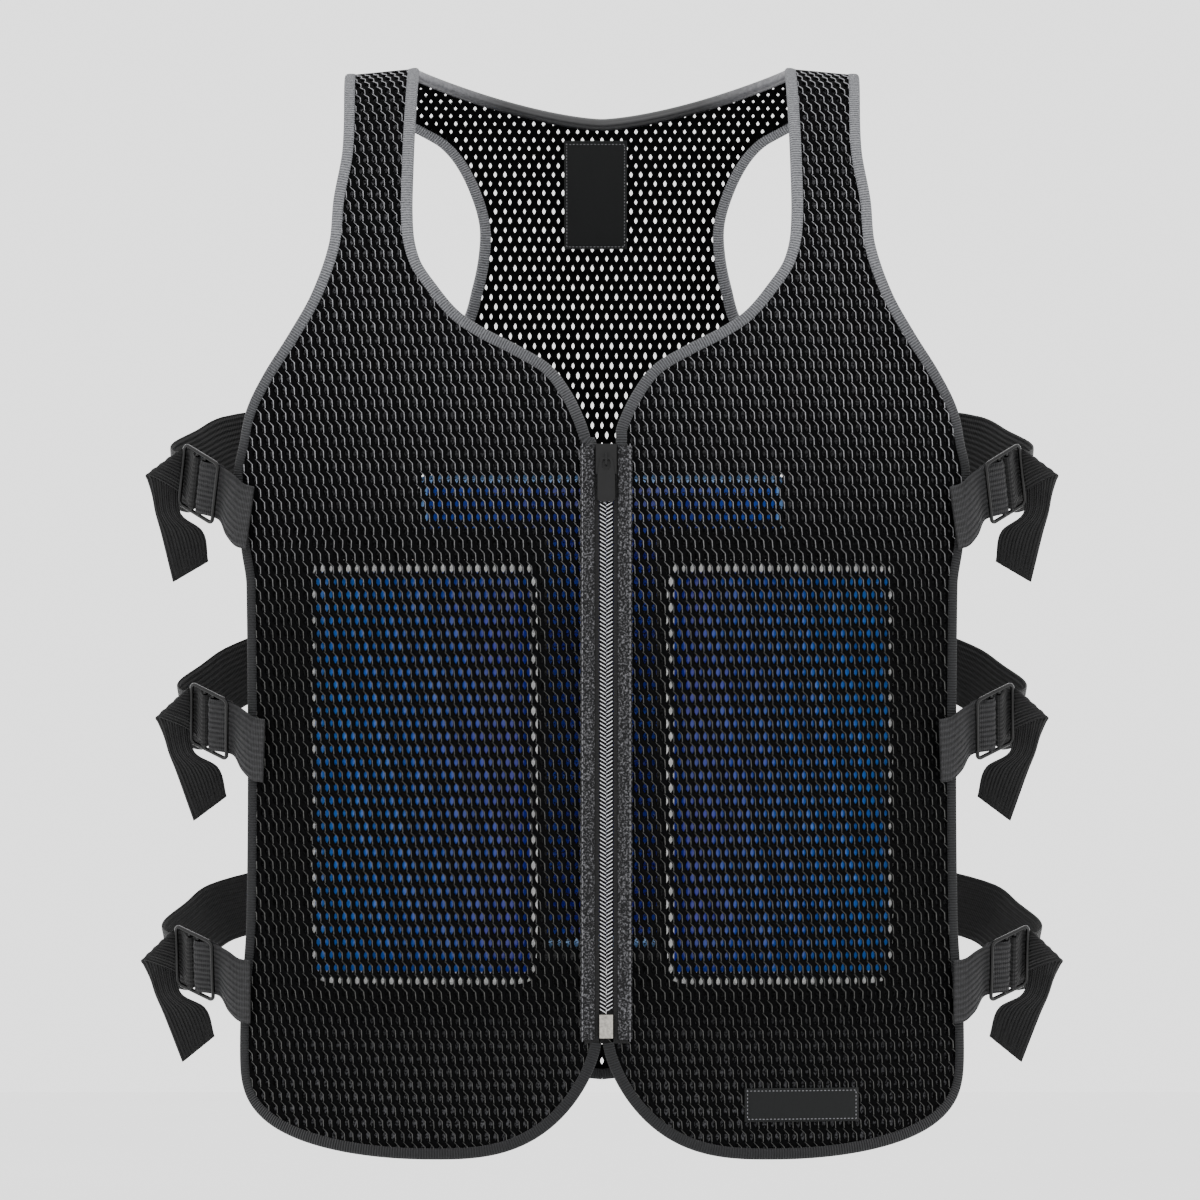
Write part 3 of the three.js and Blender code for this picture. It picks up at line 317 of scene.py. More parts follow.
def front_inner(drop, side):
    """Distance of a front's inner edge from the middle: neckline, zip, then the hem's inner corner."""
    closure = 7.25
    shift = smooth((drop / NECK_DROP - 0.7) / 0.3) * side * ZIP_X
    neck = np.maximum(closure + shift, NECK_HALF_WIDTH * through(NECKLINE, drop / NECK_DROP))
    opened = smooth((drop - ZIP_BOTTOM + 14.0) / 14.0)
    edge = (closure + side * ZIP_X) * (1.0 - opened) + 2.0 * opened
    down = np.clip((drop - ZIP_BOTTOM) / (FRONT_LENGTH - ZIP_BOTTOM), 0.0, 1.0)
    low = HEM_LOW_X - (HEM_LOW_X - edge) * (1.0 - down**1.4) ** (1.0 / 3.0)
    return np.where(drop < NECK_DROP, neck, low)


def back_half_width(drop):
    """Half width of the back at a drop of its outer edge, from strap to armhole, side and hem."""
    return BACK_HALF_WIDTH * through(BACK_EDGE, drop / BACK_LENGTH)


def back_top(x):
    """Drop of the back's neck edge: deepest in the middle, rising to the shoulders."""
    return 28.0 * (1.0 - np.minimum(np.abs(x) / NECK_HALF_WIDTH, 1.0) ** 1.5)


def evenly(points, spacing):
    """The line through the points, sampled at an even spacing of its length."""
    length = length_along(points)
    count = max(2, int(round(length[-1] / spacing)) + 1)
    at = np.linspace(0.0, length[-1], count)
    return np.stack([np.interp(at, length, points[:, k]) for k in range(points.shape[1])], axis=1)


def front_side_line(side):
    """Outer edge of a front from the lowest point of the hem up to the shoulder."""
    drop = FRONT_LENGTH - (FRONT_LENGTH - 0.05) * np.linspace(0.0, 1.0, 3000) ** 2
    return np.column_stack([side * front_outer(drop), along_at(drop, 1)])


def front_corner_line(side):
    """Inner hem corner of a front from the end of the zip down to the lowest point of the hem."""
    drop = ZIP_BOTTOM + (FRONT_LENGTH - ZIP_BOTTOM) * (1.0 - np.linspace(1.0, 0.0, 1500) ** 3)
    return np.column_stack([side * front_inner(drop, side), along_at(drop, 1)])


def neck_line(side, bottom=NECK_DROP):
    """Neckline of a front from the shoulder down to the zip."""
    drop = np.linspace(0.05, bottom, 2000)
    return np.column_stack([side * front_inner(drop, side), along_at(drop, 1)])


def zip_line(side):
    """Front edge beside the zip."""
    drop = np.linspace(NECK_DROP, ZIP_BOTTOM, 400)
    return np.column_stack([side * front_inner(drop, side), along_at(drop, 1)])


def back_side_line(side):
    """Outer edge of the back from the shoulder down the armhole and side to the middle of the hem."""
    drop = 0.05 + (BACK_LENGTH - 0.05) * (1.0 - np.linspace(1.0, 0.0, 4000) ** 2)
    return np.column_stack([side * back_half_width(drop), along_at(drop, -1)])


def back_neck_line():
    """Neck edge of the back from the right shoulder to the left one."""
    x = np.linspace(-NECK_HALF_WIDTH + 1.0, NECK_HALF_WIDTH - 1.0, 1500)
    return np.column_stack([x, along_at(np.maximum(back_top(x), 0.02), -1)])


def front_outline(side):
    """Whole outline of a front as a closed line in cloth places."""
    line = [front_corner_line(side), front_side_line(side), neck_line(side), zip_line(side)]
    return evenly(np.vstack(line), 1.5)


def back_outline():
    """Whole outline of the back as a closed line in cloth places."""
    right, left = back_side_line(-1), back_side_line(1)
    return evenly(np.vstack([back_neck_line(), left, right[::-1]]), 1.5)


def srgb(code):
    """Linear colour, with alpha 1, of a six-digit sRGB hex code."""
    values = [int(code[i : i + 2], 16) / 255.0 for i in (1, 3, 5)]
    return tuple(v / 12.92 if v <= 0.04045 else ((v + 0.055) / 1.055) ** 2.4 for v in values) + (1.0,)


def new_piece(name, points, faces, materials, body="vest", uv=None, faces_slot=None, soft=True):
    """Makes a mesh object from points in millimetres and faces, and sets what it rides on."""
    mesh = bpy.data.meshes.new(name)
    points = np.asarray(points, float) / 1000.0
    faces = np.asarray(faces, int)
    sides = faces.shape[1]
    mesh.vertices.add(len(points))
    mesh.vertices.foreach_set("co", points.ravel())
    mesh.loops.add(faces.size)
    mesh.loops.foreach_set("vertex_index", faces.ravel())
    mesh.polygons.add(len(faces))
    mesh.polygons.foreach_set("loop_start", np.arange(len(faces)) * sides)
    mesh.polygons.foreach_set("loop_total", np.full(len(faces), sides))
    mesh.polygons.foreach_set("use_smooth", np.full(len(faces), soft))
    for material in materials:
        mesh.materials.append(material)
    if faces_slot is not None:
        mesh.polygons.foreach_set("material_index", np.asarray(faces_slot, int))
    if uv is not None:
        layer = mesh.uv_layers.new(name="cloth")
        layer.data.foreach_set("uv", (np.asarray(uv, float)[faces.ravel()] / 1000.0).ravel())
    mesh.update()
    mesh.validate()
    piece = bpy.data.objects.new(name, mesh)
    bpy.context.scene.collection.objects.link(piece)
    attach(piece, body)
    return piece


def grid_faces(rows, columns, closed=False):
    """Quads of a grid of rows by columns of points, joined round across its columns if closed."""
    i, j = np.meshgrid(np.arange(rows - 1), np.arange(columns if closed else columns - 1), indexing="ij")
    k = (j + 1) % columns
    quads = [i * columns + j, (i + 1) * columns + j, (i + 1) * columns + k, i * columns + k]
    return np.stack([q.ravel() for q in quads], axis=1)


def closed_tube(sections):
    """Points and quads of a closed band through sections of equal point counts, capped by its middle."""
    rows, columns = sections.shape[:2]
    points = sections.reshape(-1, 3)
    faces = grid_faces(rows, columns, closed=True)
    middles = np.stack([sections[0].mean(0), sections[-1].mean(0)])
    first, last = len(points), len(points) + 1
    j = np.arange(columns)
    k = (j + 1) % columns
    start = np.stack([np.full(columns, first), j, k], axis=1)
    base = (rows - 1) * columns
    end = np.stack([np.full(columns, last), base + k, base + j], axis=1)
    return np.vstack([points, middles]), faces, np.vstack([start, end])


def tube_piece(name, sections, materials, uv=None):
    """A piece from a closed band of sections, all in triangles."""
    points, quads, caps = closed_tube(np.asarray(sections))
    triangles = np.vstack([quads[:, [0, 1, 2]], quads[:, [0, 2, 3]], caps])
    if uv is not None:
        uv = np.vstack([uv, uv[:1], uv[-1:]])
    return new_piece(name, points, triangles, materials, uv=uv)


class Nodes:
    """Adds shader nodes to a new material and links them."""

    def __init__(self, name):
        """A new material with its surface shader and output."""
        self.material = bpy.data.materials.new(name)
        self.material.use_nodes = True
        self.tree = self.material.node_tree
        self.shader = self.tree.nodes["Principled BSDF"]
        self.output = self.tree.nodes["Material Output"]

    def add(self, kind, inputs=None, **settings):
        """Adds a node, sets its settings, and links or sets its inputs."""
        node = self.tree.nodes.new("ShaderNode" + kind)
        for key, value in settings.items():
            setattr(node, key, value)
        for key, value in (inputs or {}).items():
            self.put(node.inputs[key], value)
        return node

    def put(self, socket, value):
        """Links a node's first output, or an output, to a socket, or sets a constant."""
        if isinstance(value, bpy.types.NodeSocket):
            self.tree.links.new(value, socket)
        elif isinstance(value, bpy.types.Node):
            self.tree.links.new(value.outputs[0], socket)
        else:
            socket.default_value = value

    def surface(self, **inputs):
        """Sets inputs of the surface shader, with spaces in their names written as underscores."""
        for key, value in inputs.items():
            self.put(self.shader.inputs[key.replace("_", " ")], value)
        return self.material

    def maths(self, operation, a, b=0.0, c=0.0):
        """A math node's result."""
        return self.add("Math", {0: a, 1: b, 2: c}, operation=operation).outputs[0]

    def bump(self, height, strength=0.5, distance=0.001):
        """A normal bumped by a height."""
        return self.add("Bump", {"Height": height, "Strength": strength, "Distance": distance}).outputs[0]

    def mix(self, share, a, b):
        """A colour mixed from a to b; sockets 6, 7 and 2 are the node's colour ones."""
        node = self.add("Mix", data_type="RGBA")
        self.put(node.inputs[0], share)
        self.put(node.inputs[6], a)
        self.put(node.inputs[7], b)
        return node.outputs[2]


def knit_yarn_material():
    """Black warp-knitted polyester: deep and matt, its grain just catches the light."""
    n = Nodes("black knitted polyester")
    place = n.add("TexCoord").outputs["Object"]
    grain = n.add("TexNoise", {"Vector": place, "Scale": 1400.0, "Detail": 2.0})
    tone = n.mix(grain.outputs[0], srgb("#010101"), srgb("#080809"))
    return n.surface(
        Base_Color=tone,
        Roughness=0.8,
        Specular_IOR_Level=0.03,
        Normal=n.bump(grain.outputs[0], 0.6, 0.0004),
    )


def strand_material():
    """Grey lay-in yarn from hole to hole, paler higher up, over the shoulders."""
    n = Nodes("grey lay-in yarn")
    place = n.add("TexCoord").outputs["Object"]
    grain = n.add("TexNoise", {"Vector": place, "Scale": 900.0, "Detail": 1.0})
    up = n.add("SeparateXYZ", {"Vector": place}).outputs[2]
    shoulder = n.add("MapRange", {"Value": up, "From Min": -0.34, "From Max": -0.2})
    lower = n.mix(grain.outputs[0], srgb("#0e0e0e"), srgb("#585856"))
    upper = n.mix(grain.outputs[0], srgb("#3c3c3e"), srgb("#aeaeb2"))
    tone = n.mix(shoulder.outputs[0], lower, upper)
    return n.surface(Base_Color=tone, Roughness=0.55, Specular_IOR_Level=0.3)


def net_material():
    """Dark knitted net, mottled by its loops.

    Over the chest and beside the zip it is cut by round holes, and the back pack shows through.
    """
    n = Nodes("black knitted net")
    uv = n.add("UVMap", uv_map="cloth").outputs[0]
    split = n.add("SeparateXYZ", {"Vector": uv})
    row_pitch, column_pitch = 0.0042, 0.0036
    row = n.maths("DIVIDE", split.outputs[1], row_pitch)
    shift = n.maths("MULTIPLY", n.maths("MODULO", n.maths("FLOOR", row), 2.0), 0.5)
    column = n.maths("ADD", n.maths("DIVIDE", split.outputs[0], column_pitch), shift)
    across = n.maths("SUBTRACT", n.maths("FRACT", column), 0.5)
    down = n.maths("SUBTRACT", n.maths("FRACT", row), 0.5)
    squared = n.maths("ADD", n.maths("MULTIPLY", across, across), n.maths("MULTIPLY", down, down))
    place = n.add("SeparateXYZ", {"Vector": n.add("TexCoord").outputs["Object"]})
    outward = n.maths("ABSOLUTE", place.outputs[0])
    pack_middle, pack_half_height, pack_half_width = -0.392, 0.147, 0.114
    chest_bottom, zip_half_width = -0.28, 0.034
    from_middle = n.maths("ABSOLUTE", n.maths("SUBTRACT", place.outputs[2], pack_middle))
    over_pack = n.maths("LESS_THAN", from_middle, pack_half_height)
    chest = n.maths("GREATER_THAN", place.outputs[2], chest_bottom)
    chest = n.maths("MULTIPLY", chest, n.maths("LESS_THAN", outward, pack_half_width))
    by_zip = n.maths("LESS_THAN", outward, zip_half_width)
    open_knit = n.maths("MULTIPLY", over_pack, n.maths("MAXIMUM", chest, by_zip))
    hole = n.maths("LESS_THAN", squared, n.maths("MULTIPLY", open_knit, 0.3))
    clear = n.add("BsdfTransparent")
    mixed = n.add("MixShader", {0: hole, 1: n.shader, 2: clear})
    n.tree.links.new(mixed.outputs[0], n.output.inputs[0])
    mottle = n.add("TexNoise", {"Vector": uv, "Scale": 650.0, "Detail": 1.0})
    sharp = n.add("MapRange", {"Value": mottle.outputs[0], "From Min": 0.38, "From Max": 0.62})
    shoulder = n.add("MapRange", {"Value": place.outputs[2], "From Min": -0.30, "From Max": -0.10})
    lower = n.mix(sharp.outputs[0], srgb("#060607"), srgb("#2c2c2e"))
    hem = n.add("MapRange", {"Value": place.outputs[2], "From Min": -0.56, "From Max": -0.63})
    upper = n.mix(sharp.outputs[0], srgb("#0c0c0d"), srgb("#6a6a6e"))
    pale = n.maths("MAXIMUM", shoulder.outputs[0], hem.outputs[0])
    tone = n.mix(pale, lower, upper)
    return n.surface(Base_Color=tone, Roughness=0.8, Specular_IOR_Level=0.2)


def ribbed_knit_material(name, dark, light, rib, strength=0.7):
    """Ribbed knit tape: fine ribs across its width, and wales uneven in tone."""
    n = Nodes(name)
    uv = n.add("UVMap", uv_map="cloth").outputs[0]
    split = n.add("SeparateXYZ", {"Vector": uv})
    place = n.add("TexCoord").outputs["Object"]
    ribs = n.maths("SINE", n.maths("MULTIPLY", split.outputs[0], 2.0 * math.pi / rib))
    wales = n.maths("SINE", n.maths("MULTIPLY", split.outputs[1], 2.0 * math.pi / (rib * 0.8)))
    grain = n.add("TexNoise", {"Vector": place, "Scale": 700.0, "Detail": 2.0})
    height = n.maths("ADD", n.maths("MULTIPLY", ribs, 0.6), n.maths("MULTIPLY", wales, 0.4))
    share = n.maths("ADD", n.maths("MULTIPLY", height, 0.22), n.maths("MULTIPLY", grain.outputs[0], 0.9))
    tone = n.mix(share, srgb(dark), srgb(light))
    return n.surface(
        Base_Color=tone,
        Roughness=0.82,
        Specular_IOR_Level=0.25,
        Sheen_Weight=0.04,
        Normal=n.bump(height, strength, 0.0005),
    )


def binding_material():
    """Grey ribbed knit binding: paler over the shoulders, charcoal down the sides and hem."""
    n = Nodes("grey ribbed knit binding")
    uv = n.add("UVMap", uv_map="cloth").outputs[0]
    split = n.add("SeparateXYZ", {"Vector": uv})
    place = n.add("TexCoord").outputs["Object"]
    height_up = n.add("SeparateXYZ", {"Vector": place}).outputs[2]
    lower = n.add("MapRange", {"Value": height_up, "From Min": -0.24, "From Max": -0.10})
    ribs = n.maths("SINE", n.maths("MULTIPLY", split.outputs[0], 2.0 * math.pi / 0.0016))
    grain = n.add("TexNoise", {"Vector": place, "Scale": 900.0, "Detail": 2.0})
    share = n.maths("ADD", n.maths("MULTIPLY", ribs, 0.3), n.maths("MULTIPLY", grain.outputs[0], 0.9))
    pale = n.mix(share, srgb("#3c3d40"), srgb("#929397"))
    dark = n.mix(share, srgb("#080809"), srgb("#222325"))
    tone = n.mix(lower.outputs[0], dark, pale)
    return n.surface(
        Base_Color=tone,
        Roughness=0.85,
        Specular_IOR_Level=0.2,
        Sheen_Weight=0.08,
        Normal=n.bump(ribs, 0.8, 0.0008),
    )


def satin_material():
    """Black satin tape folded over the back neck, with a painted highlight: paler grey towards its ends,
    where it meets the shoulder straps.
    """
    n = Nodes("black satin tape")
    place = n.add("TexCoord").outputs["Object"]
    grain = n.add("TexNoise", {"Vector": place, "Scale": 500.0, "Detail": 2.0})
    outward = n.maths("ABSOLUTE", n.add("SeparateXYZ", {"Vector": place}).outputs[0])
    # Painted highlight: the black tape turns paler grey towards the shoulders
    pale = n.add("MapRange", {"Value": outward, "From Min": 0.06, "From Max": 0.105})
    middle = n.mix(grain.outputs[0], srgb("#050506"), srgb("#1c1c1e"))
    ends = n.mix(grain.outputs[0], srgb("#2a2a2c"), srgb("#78787c"))
    tone = n.mix(pale.outputs[0], middle, ends)
    return n.surface(Base_Color=tone, Roughness=0.38, Normal=n.bump(grain.outputs[0], 0.3, 0.0003))


def melange_material():
    """Charcoal melange knit beside the zip: dark yarn flecked with pale fibres."""
    n = Nodes("charcoal melange knit")
    place = n.add("TexCoord").outputs["Object"]
    flecks = n.add("TexNoise", {"Vector": place, "Scale": 850.0, "Detail": 3.0, "Roughness": 0.7})
    sharp = n.add("MapRange", {"Value": flecks.outputs[0], "From Min": 0.5, "From Max": 0.68})
    tone = n.mix(sharp.outputs[0], srgb("#0b0b0c"), srgb("#5e5e61"))
    return n.surface(
        Base_Color=tone,
        Roughness=0.85,
        Specular_IOR_Level=0.2,
        Normal=n.bump(flecks.outputs[0], 0.7, 0.0005),
    )


def elastic_material(name, dark, light, cord, depth):
    """Woven elastic: cords run along it under a tight weave, so it is ribbed lengthwise."""
    n = Nodes(name)
    uv = n.add("UVMap", uv_map="cloth").outputs[0]
    split = n.add("SeparateXYZ", {"Vector": uv})
    place = n.add("TexCoord").outputs["Object"]
    cords = n.maths("SINE", n.maths("MULTIPLY", split.outputs[0], 2.0 * math.pi / cord))
    picks = n.maths("SINE", n.maths("MULTIPLY", split.outputs[1], 2.0 * math.pi / 0.0012))
    grain = n.add("TexNoise", {"Vector": place, "Scale": 600.0, "Detail": 2.0})
    height = n.maths("ADD", n.maths("MULTIPLY", cords, 0.8), n.maths("MULTIPLY", picks, 0.2))
    share = n.maths("ADD", n.maths("MULTIPLY", height, 0.25), grain.outputs[0])
    tone = n.mix(share, srgb(dark), srgb(light))
    return n.surface(
        Base_Color=tone,
        Roughness=0.7,
        Specular_IOR_Level=0.25,
        Sheen_Weight=0.03,
        Normal=n.bump(height, 0.9, depth),
    )


def plain_material(name, dark, light, roughness, metallic=0.0, gloss=0.5, scale=300.0):
    """One finish whose tone drifts a little between two near colours."""
    n = Nodes(name)
    place = n.add("TexCoord").outputs["Object"]
    grain = n.add("TexNoise", {"Vector": place, "Scale": scale, "Detail": 2.0})
    tone = n.mix(grain.outputs[0], srgb(dark), srgb(light))
    return n.surface(Base_Color=tone, Roughness=roughness, Metallic=metallic, Specular_IOR_Level=gloss)


def pack_material(name, low, high, rim, low_x, high_x, painted_glow):
    """Filled pouch of glossy film: blue deepens towards the zip, with a pale welded rim.

    The last argument is a painted glow: how strongly the pouch gives off its own colour as light, so that
    its shaded blue reads brighter.
    """
    n = Nodes(name)
    place = n.add("TexCoord").outputs["Object"]
    uv = n.add("UVMap", uv_map="cloth").outputs[0]
    split = n.add("SeparateXYZ", {"Vector": uv})
    outward = n.maths("ABSOLUTE", n.add("SeparateXYZ", {"Vector": place}).outputs[0])
    share = n.add("MapRange", {"Value": outward, "From Min": low_x, "From Max": high_x})
    clouds = n.add("TexNoise", {"Vector": place, "Scale": 28.0, "Detail": 4.0, "Roughness": 0.6})
    cloudy = n.maths("MULTIPLY", n.maths("SUBTRACT", clouds.outputs[0], 0.5), 1.2)
    drift = n.maths("ADD", share.outputs[0], cloudy)
    blue = n.mix(drift, srgb(low), srgb(high))
    edge = n.add("MapRange", {"Value": split.outputs[0], "From Min": 0.008, "From Max": 0.007})
    tone = n.mix(edge.outputs[0], blue, srgb(rim))
    return n.surface(
        Base_Color=tone,
        Roughness=0.28,
        Specular_IOR_Level=0.3,
        Coat_Weight=0.2,
        # Painted glow: the film's own colour is given off as light, though the pouch is no lamp
        Emission_Color=tone,
        Emission_Strength=painted_glow,
        Normal=n.bump(clouds.outputs[0], 0.4, 0.004),
    )


def inside_front(x, along, side, inset):
    """Which places lie inside a front's outline by the inset."""
    drop = drop_at(along)
    reach = side * x
    low = front_inner(np.clip(drop, 0.0, FRONT_LENGTH), side) + inset
    high = front_outer(np.clip(drop, 0.0, FRONT_LENGTH)) - inset
    return (reach > low) & (reach < high) & (along > inset) & (drop < FRONT_LENGTH - inset)


def inside_back(x, along, inset):
    """Which places lie inside the back's outline by the inset."""
    drop = drop_at(along)
    within = np.abs(x) < back_half_width(np.clip(drop, 0.0, BACK_LENGTH)) - inset
    return within & (drop > back_top(x) + 0.4 * inset) & (along < -inset) & (drop < BACK_LENGTH - inset)


def nearest_on(line, points):
    """For each point, the nearest point of a dense line, compared in blocks to save memory."""
    nearest = []
    for start in range(0, len(points), 400):
        apart = points[start : start + 400, None] - line[None]
        nearest.append((apart**2).sum(-1).argmin(1))
    return line[np.concatenate(nearest)]


# One cell of the knit in half cells: its six border points, and its pointed hole in hole sizes
CELL_BORDER = np.array([(0, 1), (1, 1), (1, -1), (0, -1), (-1, -1), (-1, 1)])
CELL_HOLE = np.array([(0.0, 0.5), (0.5, 0.15), (0.5, -0.15), (0.0, -0.5), (-0.5, -0.15), (-0.5, 0.15)])
# The lay-in yarn of a cell, in millimetres for a 5.1 by 7.7 cell: x, up, width
STRAND = np.array([(-1.3, 4.3, 0.35), (1.6, 1.3, 0.55), (1.85, -3.1, 0.4)])


def pierced_panel(name, knit, region, inside, outline, materials):
    """Knit panel cut through by its holes.

    Staggered bricks tile the cloth, and each keeps a six-sided hole whose rim turns inwards. Border
    points are shared between bricks. Points outside the outline go to its nearest place, under the
    binding. A raised yarn crosses each brick from its upper left and runs down the hole's right side.
    """
    wide, tall = knit["across"], knit["down"]
    low_x, high_x, low_along, high_along = region
    rows = np.arange(int(low_along / tall) - 1, int(high_along / tall) + 2)
    columns = np.arange(int(low_x / wide) - 1, int(high_x / wide) + 2)
    j, i = (a.ravel() for a in np.meshgrid(rows, columns, indexing="ij"))
    half_x = 2 * i + np.mod(j, 2)
    centre = np.stack([half_x * wide / 2.0, j * tall], axis=1)
    kept = inside(centre[:, 0], centre[:, 1], 1.0)
    half_x, j, centre = half_x[kept], j[kept], centre[kept]
    cells = len(j)
    border = np.stack([half_x[:, None] + CELL_BORDER[:, 0], 2 * j[:, None] - CELL_BORDER[:, 1]], axis=-1)
    keys, index = np.unique(border.reshape(-1, 2), axis=0, return_inverse=True)
    border_places = keys * np.array([wide / 2.0, tall / 2.0])
    border_index = index.reshape(cells, 6)
    wander = 1.0 + 0.12 * np.sin(centre[:, 0] * 0.9 + centre[:, 1] * 2.1)
    size = np.array([knit["hole_wide"], -knit["hole_tall"]]) * wander[:, None]
    hole_places = centre[:, None] + CELL_HOLE * size[:, None]
    places = np.vstack([border_places, hole_places.reshape(-1, 2), hole_places.reshape(-1, 2)])
    border_count, hole_count = len(border_places), cells * 6
    heights = np.repeat([0.0, -0.35, -1.3], [border_count, hole_count, hole_count])
    scale = np.array([wide / 5.1, tall / 7.7])
    rails = np.array([-0.5, 0.0, 0.5])
    strand_x = STRAND[:, None, 0] + STRAND[:, None, 2] * rails
    strand_down = np.repeat(-STRAND[:, None, 1], 3, axis=1)
    strand = np.stack([strand_x, strand_down], axis=-1)
    strand_places = (centre[:, None, None] + strand * scale).reshape(-1, 2)
    strand_heights = np.tile(np.array([0.1, 0.6, 0.1]), cells * 3)
    places = np.vstack([places, strand_places])
    heights = np.concatenate([heights, strand_heights])
    outside = ~inside(places[:, 0], places[:, 1], 1.2)
    heights = np.where(outside, -0.8, heights)
    places[outside] = nearest_on(outline, places[outside])
    points = cloth(places[:, 0], places[:, 1], heights + PACK_OUT * swell(places[:, 0], places[:, 1]))
    k = np.arange(6)
    n = (k + 1) % 6
    hole_index = border_count + np.arange(hole_count).reshape(cells, 6)
    rim_index = hole_index + hole_count
    ring = np.stack([border_index[:, k], border_index[:, n], hole_index[:, n], hole_index[:, k]], axis=-1)
    wall = np.stack([hole_index[:, k], hole_index[:, n], rim_index[:, n], rim_index[:, k]], axis=-1)
    first = border_count + 2 * hole_count
    yarn = first + np.arange(cells * 9).reshape(cells, 3, 3)
    corners = [yarn[:, :-1, :-1], yarn[:, 1:, :-1], yarn[:, 1:, 1:], yarn[:, :-1, 1:]]
    strips = np.stack(corners, axis=-1)
    quads = np.vstack([ring.reshape(-1, 4), wall.reshape(-1, 4), strips.reshape(-1, 4)])
    slots = np.repeat([0, 1], [2 * hole_count, 4 * cells])
    spread = np.ptp(places[quads], axis=1).max(axis=1)
    good = spread < 2.5 * max(wide, tall)
    return new_piece(name, points, quads[good], materials, uv=places, faces_slot=slots[good])


def net_sheet(name, outer_edge, inner_edge, along, height, materials):
    """Plain net layer: straight across between two edges at each length along, at one height."""
    share = np.linspace(0.0, 1.0, 25)
    x = inner_edge[:, None] + (outer_edge - inner_edge)[:, None] * share
    s = np.repeat(along[:, None], 25, axis=1)
    points = cloth(x, s, height - PACK_IN * swell(x, s)).reshape(-1, 3)
    uv = np.stack([x + 500.0, s + 900.0], axis=-1).reshape(-1, 2)
    return new_piece(name, points, grid_faces(len(along), 25), materials, uv=uv)


# Binding profile: distance in from the edge, and height; the inner leg's heights are below the stack
BINDING_OUTER = np.array(
    [(5.2, 0.1), (5.0, 1.15), (3.4, 1.55), (1.6, 1.7), (0.0, 1.6), (-1.0, 1.0), (-1.5, 0.0)]
)
BINDING_INNER = BINDING_OUTER[::-1] * np.array([1.0, -1.0])


def binding(name, line, stack, inwards, materials):
    """Tape folded round an edge: a rounded profile carried along the edge, its legs on the cloth.

    Each point moves in from the edge along the cloth, at right angles to the edge, by the profile's
    distance, and out along the normal by its height. stack is the thickness held between the legs.
    """
    x, along = line[:, 0], line[:, 1]
    normal, across, down = directions(x, along)
    tangent = np.gradient(body_point(x, along), axis=0)
    tangent /= np.linalg.norm(tangent, axis=1, keepdims=True)
    inward = np.cross(normal, tangent) * inwards
    step_x = (inward * across).sum(1) / (across**2).sum(1)
    step_along = (inward * down).sum(1) / (down**2).sum(1)
    profile = np.vstack([BINDING_OUTER, BINDING_INNER])
    inner = np.repeat([0.0, 1.0], [len(BINDING_OUTER), len(BINDING_INNER)])
    distance = profile[:, 0]
    px = x[:, None] + step_x[:, None] * distance
    ps = along[:, None] + step_along[:, None] * distance
    blend = np.clip(distance / BINDING_WIDTH, 0.0, 1.0)
    front = along[:, None] > 0
    lining = np.where(front, -PACK_IN, PACK_OUT) * swell(px, ps)
    lift = np.where(inner > 0, lining, PACK_OUT * swell(px, ps)) * blend
    height = profile[:, 1] - inner * stack[:, None] + lift
    points = cloth(px, ps, height)
    length = length_along(body_point(x, along))
    round_length = length_along(profile)
    uv = np.stack(np.broadcast_arrays(length[:, None], round_length[None]), axis=-1).reshape(-1, 2)
    faces = grid_faces(len(x), len(profile))
    return new_piece(name, points.reshape(-1, 3), faces, materials, uv=uv)


def pack(name, area, materials, side=1, drawn=0.03):
    """Filled pouch: a rounded rectangle of two faces that meet at a thin welded rim.

    Across the pouch u and v run from -1 to 1. The faces part by (1 - |u|^10)^0.6 (1 - |v|^10)^0.6 of
    the filling, and small crumples of a few sines lie on top. Each edge is drawn in towards its two
    corners by the share drawn times |u|^12 or |v|^12.
    """
    count = 61
    t = np.sin(np.linspace(-1.0, 1.0, count) * np.pi / 2.0)
    u, v = np.meshgrid(t, t, indexing="ij")
    clear, rim_sink, fill_out, fill_in, crumpled = 1.6, 2.8, 5.0, 7.0, 0.5
    low, high = area["low"] + clear, area["high"] - clear
    top, bottom = area["top"] + clear, area["bottom"] - clear
    x = (low + high) / 2.0 + (high - low) / 2.0 * u * (1.0 - drawn * np.abs(v) ** 12)
    drop = (top + bottom) / 2.0 + (bottom - top) / 2.0 * v * (1.0 - drawn * np.abs(u) ** 12)
    along = along_at(drop, 1 if name.startswith("front") else -1)
    fullness = ((1.0 - np.abs(u) ** 10) * (1.0 - np.abs(v) ** 10)) ** 0.6
    crumple = np.sin(x * 0.21 + 1.3 * np.sin(drop * 0.13)) * np.sin(drop * 0.17 + 0.9 * np.sin(x * 0.09))
    rim_height = POUCH_HEIGHT - rim_sink * (1.0 - fullness)
    dent = (crumple - 1.0) * crumpled * fullness
    outer = rim_height + fill_out * fullness + dent
    inner = rim_height - fill_in * fullness - dent
    rim = np.minimum(1.7 * np.minimum(x - low, high - x), np.minimum(drop - top, bottom - drop))
    faces = grid_faces(count, count)
    points = [cloth(side * x, along, h).reshape(-1, 3) for h in (outer, inner)]
    uv = np.stack([rim, drop], axis=-1).reshape(-1, 2)
    both = np.vstack([faces, faces[:, ::-1] + count * count])
    return new_piece(f"film_pouch_{name}", np.vstack(points), both, materials, uv=np.vstack([uv, uv]))


